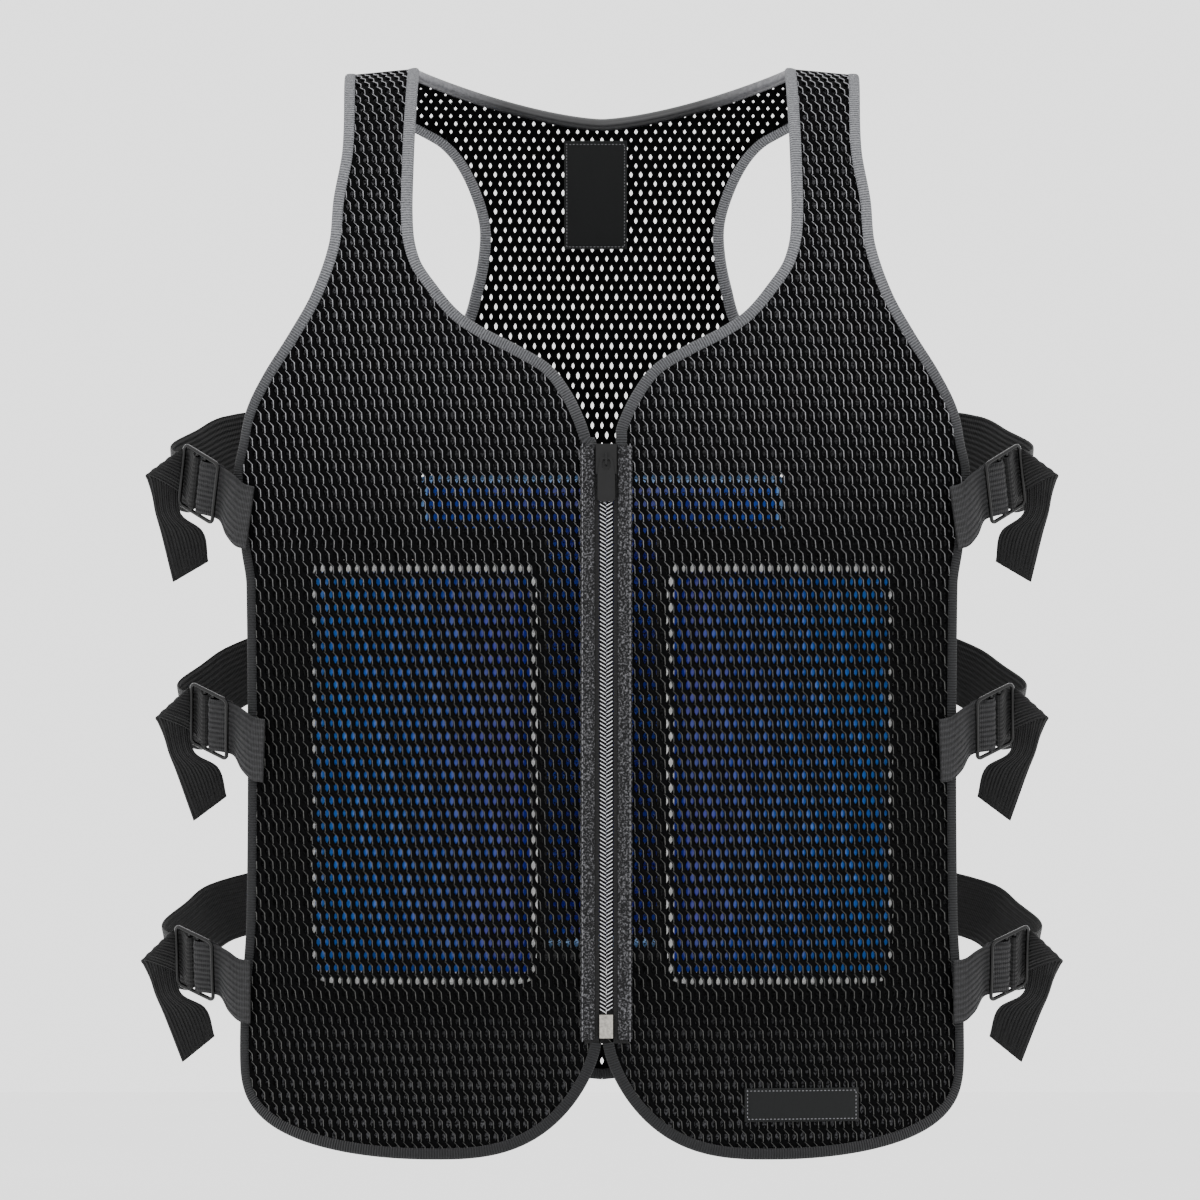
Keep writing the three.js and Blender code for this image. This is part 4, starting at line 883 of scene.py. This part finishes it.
def strip(name, side, size, drops, materials, rounding=0.35):
    """Flat strip down the front: a rounded section of width and height carried along the drops."""
    x_low, x_high = sorted([ZIP_X + side * size["from"], ZIP_X + side * size["to"]])
    low, high = size["back"], size["face"]
    t = np.linspace(-1.0, 1.0, 9)
    lift = (1.0 - np.abs(t) ** 6) ** 0.5
    centre, half = (x_low + x_high) / 2.0, (x_high - x_low) / 2.0
    section_x = np.concatenate([centre + half * t, centre + half * t[::-1]])
    round_off = (high - low) * rounding
    section_h = np.concatenate([high - round_off * (1.0 - lift), np.full(9, low)])
    along = along_at(drops, 1)
    count = len(section_x)
    points = cloth(np.tile(section_x, (len(along), 1)), np.repeat(along[:, None], count, 1), section_h[None])
    uv = np.stack(np.broadcast_arrays(section_x[None], along[:, None]), axis=-1).reshape(-1, 2)
    return tube_piece(name, points, materials, uv=uv)


TOOTH_PITCH = 2.37
CHAIN_TOP = 239.5
CHAIN_BOTTOM = 569.0


def teeth(name, side, materials):
    """One side of a metal chain: bars that slope up and out from the middle, one per pitch.

    The two sides lie half a pitch apart. The front face of each bar is narrower than its back, so its
    edges are bevelled.
    """
    start = CHAIN_TOP + (TOOTH_PITCH / 2.0 if side > 0 else 0.0)
    drops = np.arange(start, CHAIN_BOTTOM, TOOTH_PITCH)
    reach = np.array([0.12, 3.75, 3.75, 0.12] * 2)
    half = np.array([-0.3, -0.3, 0.3, 0.3, -0.5, -0.5, 0.5, 0.5])
    height = np.array([1.35] * 4 + [-0.6] * 4)
    slope = -0.6 * reach
    x = ZIP_X + side * reach
    along = along_at(drops, 1)[:, None] + half * 0.95 + slope
    points = cloth(np.tile(x, (len(drops), 1)), along, np.tile(height, (len(drops), 1)))
    box = np.array([(0, 1, 2, 3), (7, 6, 5, 4), (0, 4, 5, 1), (1, 5, 6, 2), (2, 6, 7, 3), (3, 7, 4, 0)])
    faces = (np.arange(len(drops))[:, None, None] * 8 + box).reshape(-1, 4)
    return new_piece(name, points.reshape(-1, 3), faces, materials, soft=False)


# Side straps: drop of the sewn end, its inset from the front's edge, and its lean in degrees
STRAP_LEVELS = {
    "upper": (0.4153 * FRONT_LENGTH, 5.0, 7.7),
    "middle": (0.629 * FRONT_LENGTH, 6.5, 1.8),
    "lower": (0.8504 * FRONT_LENGTH, 2.0, 0.0),
}
ON_BINDING = 3.55
END_LIFT = 0.8
BACK_END_RISE = 52.0

# Buckle, in the frame of the sewn end on the wearer's right: its directions, centre and sizes
BUCKLE_ALONG = np.array([-0.74, 0.59, 0.32]) / np.linalg.norm([-0.74, 0.59, 0.32])
BUCKLE_OUT = np.array([-0.66, -0.65, -0.355]) / np.linalg.norm([-0.66, -0.65, -0.355])
BUCKLE_UP = np.cross(BUCKLE_ALONG, BUCKLE_OUT) / np.linalg.norm(np.cross(BUCKLE_ALONG, BUCKLE_OUT))
BUCKLE_CENTRE = np.array([-0.79, 0.55, 0.4]) * WEBBING_WIDTH
BUCKLE_WIRE = 1.2
BUCKLE_REACH = 15.0
BAR_SPACING = 6.8
BAR_HALF = WEBBING_WIDTH * 0.5 + BUCKLE_WIRE
LOOP = BUCKLE_WIRE + 0.3 + WEBBING_WALL / 2.0
UNDER = -(LOOP + 0.5)
NEXT_LAYER = WEBBING_WALL + 0.7

# Stations of the long elastic before and after the buckle, in shares of the webbing's width: centre,
# then width vector
BACK_RUN = np.array(
    [
        (-0.5, 3.45, 1.1, -0.4, -0.1, 0.9),
        (-0.85, 2.95, 0.84, -0.42, -0.15, 0.86),
        (-1.22, 2.3, 0.56, -0.3, -0.2, 0.9),
        (-1.22, 1.5, 0.42, -0.1, -0.3, 0.9),
        (-0.92, 1.12, 0.36, 0.0, -0.42, 0.86),
    ]
)
TAIL_RUN = np.array(
    [
        (-1.36, 0.71, 0.66, 0.39, -0.16, 0.47),
        (-1.41, 0.77, 0.645, 0.49, -0.12, 0.45),
        (-1.37, 0.88, 0.526, 0.5, -0.08, 0.37),
        (-1.32, 1.16, 0.17, 0.42, -0.05, 0.13),
        (-1.24, 1.15, -0.12, 0.42, -0.08, 0.04),
        (-0.99, 1.16, -0.38, 0.66, -0.08, 0.12),
        (-0.76, 1.2, -1.0, 0.5, 0.26, 0.4),
    ]
)


def strap_place(level, side):
    """Returns a function that carries points of the strap's frame onto the vest's side."""
    drop, inset, lean = STRAP_LEVELS[level]
    edge = float(front_outer(np.array(drop)))
    origin = cloth(-(edge - inset), along_at(np.array(drop), 1), ON_BINDING + END_LIFT)
    cos, sin = math.cos(math.radians(lean)), math.sin(math.radians(lean))
    turn = np.array([(cos, 0.0, sin), (0.0, 1.0, 0.0), (-sin, 0.0, cos)])

    def place(points, back=False):
        """Points carried onto the vest, or from the vest into the strap's frame if back."""
        if back:
            return (points - origin) @ turn
        placed = points @ turn.T + origin
        return placed * np.array([-side, 1.0, 1.0])

    return place


def in_buckle(a, n, up=0.0):
    """Point of the buckle's frame: a along the strap, n out of its face, up along its bars."""
    return BUCKLE_CENTRE + a * BUCKLE_ALONG + n * BUCKLE_OUT + up * BUCKLE_UP


def squeezed(share=1.0):
    """Width vector of webbing drawn together inside the buckle."""
    return BUCKLE_UP * WEBBING_WIDTH * 0.93 * share


def loop_round(bar, towards):
    """Stations round an inner bar, from its face to its back."""
    turns = np.radians([90, 60, 30, 0, -30, -60, -90])
    return [
        (in_buckle(bar + towards * LOOP * math.cos(t), LOOP * math.sin(t)), squeezed()) for t in turns
    ]


def in_shares(row):
    """A table row as a station: centre and width vector in millimetres."""
    return row[:3] * WEBBING_WIDTH, row[3:] * WEBBING_WIDTH


def front_stations():
    """Short elastic: from its sewn end under the buckle's rim, over the first bar and back below."""
    w = WEBBING_WIDTH
    return [
        (np.array([0.12, -0.1, -0.03]) * w, np.array([0.0, 0.0, 1.0]) * w),
        (np.array([-0.06, 0.0, 0.0]) * w, np.array([0.0, -0.02, 1.0]) * w),
        (np.array([-0.22, 0.1, 0.12]) * w, np.array([0.0, -0.12, 0.97]) * w),
        (in_buckle(-BUCKLE_REACH - 3.0, UNDER - 0.5), squeezed()),
        (in_buckle(-BUCKLE_REACH + 2.0, UNDER), squeezed()),
        *loop_round(-BAR_SPACING / 2.0, 1),
        (in_buckle(-BUCKLE_REACH + 3.0, UNDER - NEXT_LAYER), squeezed()),
        (in_buckle(-BUCKLE_REACH - 1.0, UNDER - 0.2 - NEXT_LAYER), squeezed()),
    ]


def side_stations(level):
    """Long elastic: from the back's edge, through the buckle over the second bar, to its free tail."""
    place = strap_place(level, -1)
    drop = STRAP_LEVELS[level][0] - BACK_END_RISE
    half = WEBBING_WIDTH / 2.0

    def root(inset, out):
        """Station on the back, inset from its edge and out from the cloth."""
        drops = np.array([drop, drop - half, drop + half])
        x = -(back_half_width(drops) - inset)
        at = place(cloth(x, along_at(drops, -1), out), back=True)
        return at[0], at[1] - at[2]

    return [
        root(12.0, ON_BINDING),
        root(0.0, ON_BINDING),
        root(-8.0, ON_BINDING - 2.0),
        *[in_shares(row) for row in BACK_RUN],
        *loop_round(BAR_SPACING / 2.0, -1)[::-1],
        (in_buckle(BUCKLE_REACH - 3.0, UNDER), squeezed()),
        (in_buckle(BUCKLE_REACH + 1.5, UNDER - 0.4), squeezed(0.88)),
        *[in_shares(row) for row in TAIL_RUN],
    ]


def webbing(name, stations, place, materials, pucker=0.0):
    """Flat webbing through stations: a thin rounded section carried along smooth curves.

    Centre and width follow curves through the stations. The section is a superellipse of the webbing's
    width and thickness. pucker adds shallow cross folds where the width is drawn together.
    """
    both = curve_through(np.array([np.concatenate(s) for s in stations]), 6)
    centre, width = both[:, :3], both[:, 3:]
    tangent = np.gradient(centre, axis=0)
    normal = np.cross(tangent, width)
    normal /= np.linalg.norm(normal, axis=1, keepdims=True)
    t = np.sin(np.linspace(-1.0, 1.0, 25) * np.pi / 2.0)
    rise = WEBBING_WALL / 2.0 * (1.0 - np.abs(t) ** 10) ** 0.5
    across = np.concatenate([t, t[::-1][1:-1]])
    out = np.concatenate([rise, -rise[::-1][1:-1]])
    drawn = 1.0 - np.linalg.norm(width, axis=1) / WEBBING_WIDTH
    wave = pucker * np.clip(drawn * 8.0, 0.0, 1.0)[:, None] * np.sin(across * 14.0)[None]
    offset = out[None] + wave
    sections = centre[:, None] + width[:, None] / 2.0 * across[None, :, None]
    sections = sections + normal[:, None] * offset[..., None]
    length = length_along(centre)
    places = np.broadcast_arrays(across[None] * WEBBING_WIDTH / 2.0, length[:, None])
    uv = np.stack(places, axis=-1).reshape(-1, 2)
    return tube_piece(name, place(sections.reshape(-1, 3)).reshape(sections.shape), materials, uv=uv)


def wire_sections(path, radius, closed):
    """Round wire along a path that lies in the buckle's face plane."""
    tangent = np.roll(path, -1, 0) - np.roll(path, 1, 0) if closed else np.gradient(path, axis=0)
    tangent /= np.linalg.norm(tangent, axis=1, keepdims=True)
    side = np.cross(tangent, BUCKLE_OUT)
    turn = np.linspace(0.0, 2.0 * np.pi, 10, endpoint=False)
    ring = np.cos(turn)[None, :, None] * side[:, None] + np.sin(turn)[None, :, None] * BUCKLE_OUT
    return path[:, None] + radius * ring


def buckle(name, place, materials):
    """Wire buckle: a frame whose corners are quarter circles, and two straight bars across it."""
    corner = 3.0
    quarter = np.radians(np.linspace(0.0, 90.0, 7))
    path = []
    for k, (a, up) in enumerate([(1, 1), (-1, 1), (-1, -1), (1, -1)]):
        turn = quarter + k * np.pi / 2.0
        centre = in_buckle(a * (BUCKLE_REACH - corner), 0.0, up * (BAR_HALF - corner))
        round_corner = np.cos(turn)[:, None] * BUCKLE_ALONG + np.sin(turn)[:, None] * BUCKLE_UP
        path.append(centre + corner * round_corner)
    ring = wire_sections(np.vstack(path), BUCKLE_WIRE, True)
    ring_points = ring.reshape(-1, 3)
    rows = len(ring)
    ring_faces = grid_faces(rows + 1, 10, closed=True) % (rows * 10)
    points, faces = [ring_points], [ring_faces]
    for s in (-1, 1):
        ends = [in_buckle(s * BAR_SPACING / 2.0, 0.0, up) for up in (-BAR_HALF, 0.0, BAR_HALF)]
        bar = wire_sections(np.array(ends), BUCKLE_WIRE * 0.95, False)
        faces.append(grid_faces(3, 10, closed=True) + sum(len(p) for p in points))
        points.append(bar.reshape(-1, 3))
    return new_piece(name, place(np.vstack(points)), np.vstack(faces), materials)


def label(name, area, sign, under, over, materials):
    """Bare woven label: a thin slab on the cloth, its face a little fuller in the middle."""
    u = np.linspace(0.0, 1.0, 15)
    v = np.linspace(0.0, 1.0, 21)
    x = area["low"] + (area["high"] - area["low"]) * u
    along = along_at(area["top"] + (area["bottom"] - area["top"]) * v, sign)
    grid_x, grid_s = np.meshgrid(x, along)
    edge = np.minimum(np.minimum(u, 1.0 - u)[None], np.minimum(v, 1.0 - v)[:, None])
    face = over - (over - under) * 0.35 * (1.0 - smooth(edge * 12.0))
    outer = cloth(grid_x, grid_s, face).reshape(-1, 3)
    inner = cloth(grid_x, grid_s, under).reshape(-1, 3)
    faces = grid_faces(21, 15)
    count = 21 * 15
    index = np.arange(count).reshape(21, 15)
    border = np.concatenate([index[0, :-1], index[:-1, -1], index[-1, :0:-1], index[:0:-1, 0]])
    after = np.roll(border, -1)
    sides = np.stack([border, after, after + count, border + count], axis=1)
    uv = np.tile(np.stack([grid_x, grid_s], axis=-1).reshape(-1, 2), (2, 1))
    all_faces = np.vstack([faces, faces[:, ::-1] + count, sides])
    return new_piece(name, np.vstack([outer, inner]), all_faces, materials, uv=uv)


def border(area, sign):
    """Closed rectangle of cloth places, a little inside a label's edges."""
    low_x, high_x = area["low"] + STITCH_INSET, area["high"] - STITCH_INSET
    top, bottom = area["top"] + STITCH_INSET, area["bottom"] - STITCH_INSET
    corners = [(low_x, top), (high_x, top), (high_x, bottom), (low_x, bottom), (low_x, top)]
    return np.array([(x, float(along_at(drop, sign))) for x, drop in corners])


def stitches(name, line, height, materials, length=2.3, pitch=3.4):
    """Sewn stitches: a short flattened thread at each pitch along a line of cloth places."""
    places = evenly(line, pitch)
    step = np.gradient(places, axis=0)
    step /= np.linalg.norm(step, axis=1, keepdims=True)
    side = np.stack([-step[:, 1], step[:, 0]], axis=1)
    ends = np.array([-0.5, -0.3, 0.3, 0.5]) * length
    half_width = 0.28
    wide = np.array([0.35, 1.0, 1.0, 0.35]) * half_width
    rail = places[:, None] + step[:, None] * ends[None, :, None]
    rows = [rail + side[:, None] * (wide * s)[None, :, None] for s in (-1.0, 0.0, 1.0)]
    grid = np.stack(rows, axis=2)
    lift = np.sign(height) * np.array([0.0, 0.3, 0.3, 0.0])[:, None] * np.array([0.4, 1.0, 0.4])
    heights = height + lift[None] + 0.0 * grid[..., 0]
    points = cloth(grid[..., 0], grid[..., 1], heights + PACK_OUT * swell(grid[..., 0], grid[..., 1]))
    base = grid_faces(4, 3)
    faces = (np.arange(len(places))[:, None, None] * 12 + base).reshape(-1, 4)
    return new_piece(name, points.reshape(-1, 3), faces, materials)


def stack_at(along):
    """Thickness that a binding folds round: two layers at the shoulder, three lower down."""
    return 2.4 + 1.55 * smooth(np.abs(along) / 20.0)


def show(names, material):
    """Gives CAD nodes that keep their own shape a procedural finish."""
    for node in names:
        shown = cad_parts[node]
        shown.data.materials.clear()
        shown.data.materials.append(material)


# Finishes
knit_yarn = knit_yarn_material()
strand = strand_material()
net = net_material()
binding_knit = binding_material()
satin = satin_material()
melange = melange_material()
elastic = elastic_material("black woven elastic", "#010101", "#141415", 0.0031, 0.0007)
front_elastic_knit = elastic_material("charcoal ribbed elastic", "#020202", "#343436", 0.0036, 0.002)
wire = plain_material("black nylon-coated wire", "#010101", "#080808", 0.15, gloss=0.25)
silver = plain_material("bright nickel-plated brass", "#828387", "#e2e3e6", 0.22, metallic=1.0, scale=900.0)
cast_nickel = plain_material("tumbled cast nickel", "#5c5a57", "#b4b0a8", 0.38, metallic=1.0, scale=700.0)
black_metal = plain_material("black painted die-cast zinc", "#040404", "#0e0e0f", 0.3, gloss=0.2)
tape_weave = ribbed_knit_material("black woven zip tape", "#030303", "#131314", 0.0012, 0.5)
label_weave = ribbed_knit_material("black woven satin label", "#030404", "#0b0d0e", 0.0007, 0.35)
thread = plain_material("grey sewing thread", "#2c2c2e", "#707074", 0.5, scale=1200.0)
# The last number of each film is the strength of its painted glow
front_film = pack_material("sky blue pouch film", "#081ea0", "#2a72d0", "#ffffff", 0.05, 0.17, 0.1)
back_film = pack_material("deep blue pouch film", "#060b62", "#1046a4", "#6a94cc", 0.0, 0.2, 0.06)

# Pierced knit of the two fronts and the back
SIDES = {"right": -1, "left": 1}
for which, side in SIDES.items():
    reach = (2.0, 222.0) if side > 0 else (-222.0, -2.0)
    region = (*reach, 0.0, float(along_at(FRONT_LENGTH, 1)))
    panel = pierced_panel(
        f"front_knit_{which}",
        FRONT_KNIT,
        region,
        lambda x, along, inset, side=side: inside_front(x, along, side, inset),
        front_outline(side),
        [knit_yarn, strand],
    )
    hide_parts(f"front_mesh_{which}")
back_region = (-206.0, 206.0, float(along_at(BACK_LENGTH, -1)), 0.0)
back_knit = pierced_panel(
    "back_knit", BACK_KNIT, back_region, inside_back, back_outline(), [knit_yarn, strand]
)
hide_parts("back_mesh")

# Seam over each shoulder, where the front and the back are joined between the bindings
for which, side in SIDES.items():
    seam_x, seam_along = np.meshgrid(side * np.linspace(113.0, 155.0, 15), np.linspace(-5.5, 6.0, 13))
    seam_height = 0.2 + 0.9 * (1.0 - (seam_along / 6.0) ** 2)
    seam_points = cloth(seam_x, seam_along, seam_height).reshape(-1, 3)
    shoulder_seam = new_piece(f"shoulder_seam_{which}", seam_points, grid_faces(13, 15), [knit_yarn])

# Inner nets of the fronts and the back pocket
for which, side in SIDES.items():
    drops = np.linspace(1.0, FRONT_LENGTH - 2.0, 160)
    edges = [side * (front_outer(drops) - 3.0), side * (front_inner(drops, side) + 3.0)]
    lining = net_sheet(f"front_net_{which}", edges[0], edges[1], along_at(drops, 1), NET_HEIGHT, [net])
    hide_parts(f"front_lining_{which}")
pocket_drops = np.linspace(234.0, 549.0, 80)
pocket_edge = np.full(80, 124.0)
pocket = net_sheet("back_net", -pocket_edge, pocket_edge, along_at(pocket_drops, -1), NET_HEIGHT, [net])
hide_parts("back_pocket")

# Bindings on the cut edges
trims = {}
for which, side in SIDES.items():
    lines = [front_corner_line(side), front_side_line(side), back_side_line(side)]
    path = evenly(np.vstack(lines), 2.5)
    edge = binding(f"edge_tape_{which}", path, stack_at(path[:, 1]), side, [binding_knit])
    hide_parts(f"edge_binding_{which}")
    path = evenly(neck_line(side, ZIP_TOP + 4.0), 2.5)
    neck = binding(f"neck_tape_{which}", path, stack_at(path[:, 1]), side, [binding_knit])
    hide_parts(f"neck_binding_{which}")
    trims[which] = [edge, neck]
path = evenly(back_neck_line(), 2.5)
back_neck = binding("back_neck_tape", path, np.full(len(path), 2.4), 1, [satin])
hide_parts("back_neck_binding")

# Cool packs
pads = [
    pack("front_right", FRONT_PACK, [front_film], -1),
    pack("front_left", FRONT_PACK, [front_film], 1),
    pack("back", BACK_PACK, [back_film], drawn=0.012),
]
for pad, node in zip(pads, ("cool_pack_front_right", "cool_pack_front_left", "cool_pack_back")):
    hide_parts(node)

# Zip: tapes, melange strips, chain, and the hard pieces that the part shapes
zip_drops = np.linspace(ZIP_TOP, ZIP_BOTTOM, 120)
strip_drops = np.linspace(ZIP_TOP + 1.0, ZIP_BOTTOM - 2.0, 120)
for which, side in SIDES.items():
    tape = strip(f"zip_weave_{which}", side, ZIP_TAPE, zip_drops, [tape_weave])
    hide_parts(f"zip_tape_{which}")
    band = strip(f"melange_strip_{which}", side, MELANGE_STRIP, strip_drops, [melange], 0.8)
    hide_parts(f"zip_binding_{which}")
    core = strip(f"zip_core_{which}", side, ZIP_CORE, zip_drops, [tape_weave])
    chain = teeth(f"zip_chain_{which}", side, [silver])
    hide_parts(f"zip_teeth_{which}")
show(["zip_slider", "zip_pull"], black_metal)
show(["zip_box"], cast_nickel)

# Side straps and their buckles
for which, side in SIDES.items():
    for level in STRAP_LEVELS:
        place = strap_place(level, side)
        short_name = f"short_elastic_{level}_{which}"
        short = webbing(short_name, front_stations(), place, [front_elastic_knit], 0.35)
        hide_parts(f"front_elastic_{level}_{which}")
        long = webbing(f"long_elastic_{level}_{which}", side_stations(level), place, [elastic], 0.25)
        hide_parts(f"side_elastic_{level}_{which}")
        frame_wire = buckle(f"wire_buckle_{level}_{which}", place, [wire])
        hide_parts(f"slide_buckle_{level}_{which}")

# Bare labels and the stitches that show
neck_label = label("neck_label_weave", NECK_LABEL, -1, -2.75, -3.65, [label_weave])
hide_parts("neck_label")
hem_label = label("hem_label_weave", HEM_LABEL, 1, 0.35, 1.25, [label_weave])
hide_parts("hem_label")
neck_stitches = stitches("neck_label_stitches", border(NECK_LABEL, -1), -3.7, [thread], 1.2, 2.2)
hem_stitches = stitches("hem_label_stitches", border(HEM_LABEL, 1), 1.3, [thread], 1.2, 2.2)
for which, side in SIDES.items():
    seam = np.column_stack([np.full(120, ZIP_X + side * ZIP_SEAM_X), along_at(strip_drops, 1)])
    seam_stitches = stitches(f"zip_seam_{which}", seam, 2.9, [thread])
    trims[which].append(seam_stitches)

# Studio: a white room, a pale floor below the vest, and broad soft lights
ROOM_BRIGHTNESS = 2.2
FLOOR_Z = -0.8
FLOOR_CORNERS = [(-4, -3, FLOOR_Z), (4, -3, FLOOR_Z), (4, 3, FLOOR_Z), (-4, 3, FLOOR_Z)]
world = bpy.data.worlds.new("studio")
bpy.context.scene.world = world
world.use_nodes = True
background = world.node_tree.nodes["Background"]
background.inputs["Color"].default_value = srgb("#ffffff")
background.inputs["Strength"].default_value = ROOM_BRIGHTNESS
floor_mesh = bpy.data.meshes.new("floor")
floor_mesh.from_pydata(FLOOR_CORNERS, [], [(0, 1, 2, 3)])
floor = bpy.data.objects.new("floor", floor_mesh)
bpy.context.scene.collection.objects.link(floor)
floor_mesh.materials.append(plain_material("pale matt floor", "#f4f4f4", "#fbfbfb", 0.9, scale=2.0))


def area_light(name, energy, size, place, turn):
    """A square soft light."""
    lamp = bpy.data.lights.new(name, "AREA")
    lamp.energy, lamp.size = energy, size
    light = bpy.data.objects.new(name, lamp)
    light.location, light.rotation_euler = place, turn
    bpy.context.scene.collection.objects.link(light)


area_light("key", 18.0, 1.6, (-1.3, -2.4, 1.1), (math.radians(62), 0.0, math.radians(-28)))
area_light("fill", 8.0, 2.0, (1.8, -2.4, 0.2), (math.radians(82), 0.0, math.radians(36)))

# Camera: straight at the front, from about 5 m away with a long lens
camera_data = bpy.data.cameras.new("camera")
camera_data.lens, camera_data.sensor_width = 250.0, 36.0
camera = bpy.data.objects.new("camera", camera_data)
camera.location = (-0.0012, -5.08, -0.3228)
camera.rotation_euler = (math.radians(90.0), 0.0, 0.0)
bpy.context.scene.collection.objects.link(camera)
bpy.context.scene.camera = camera
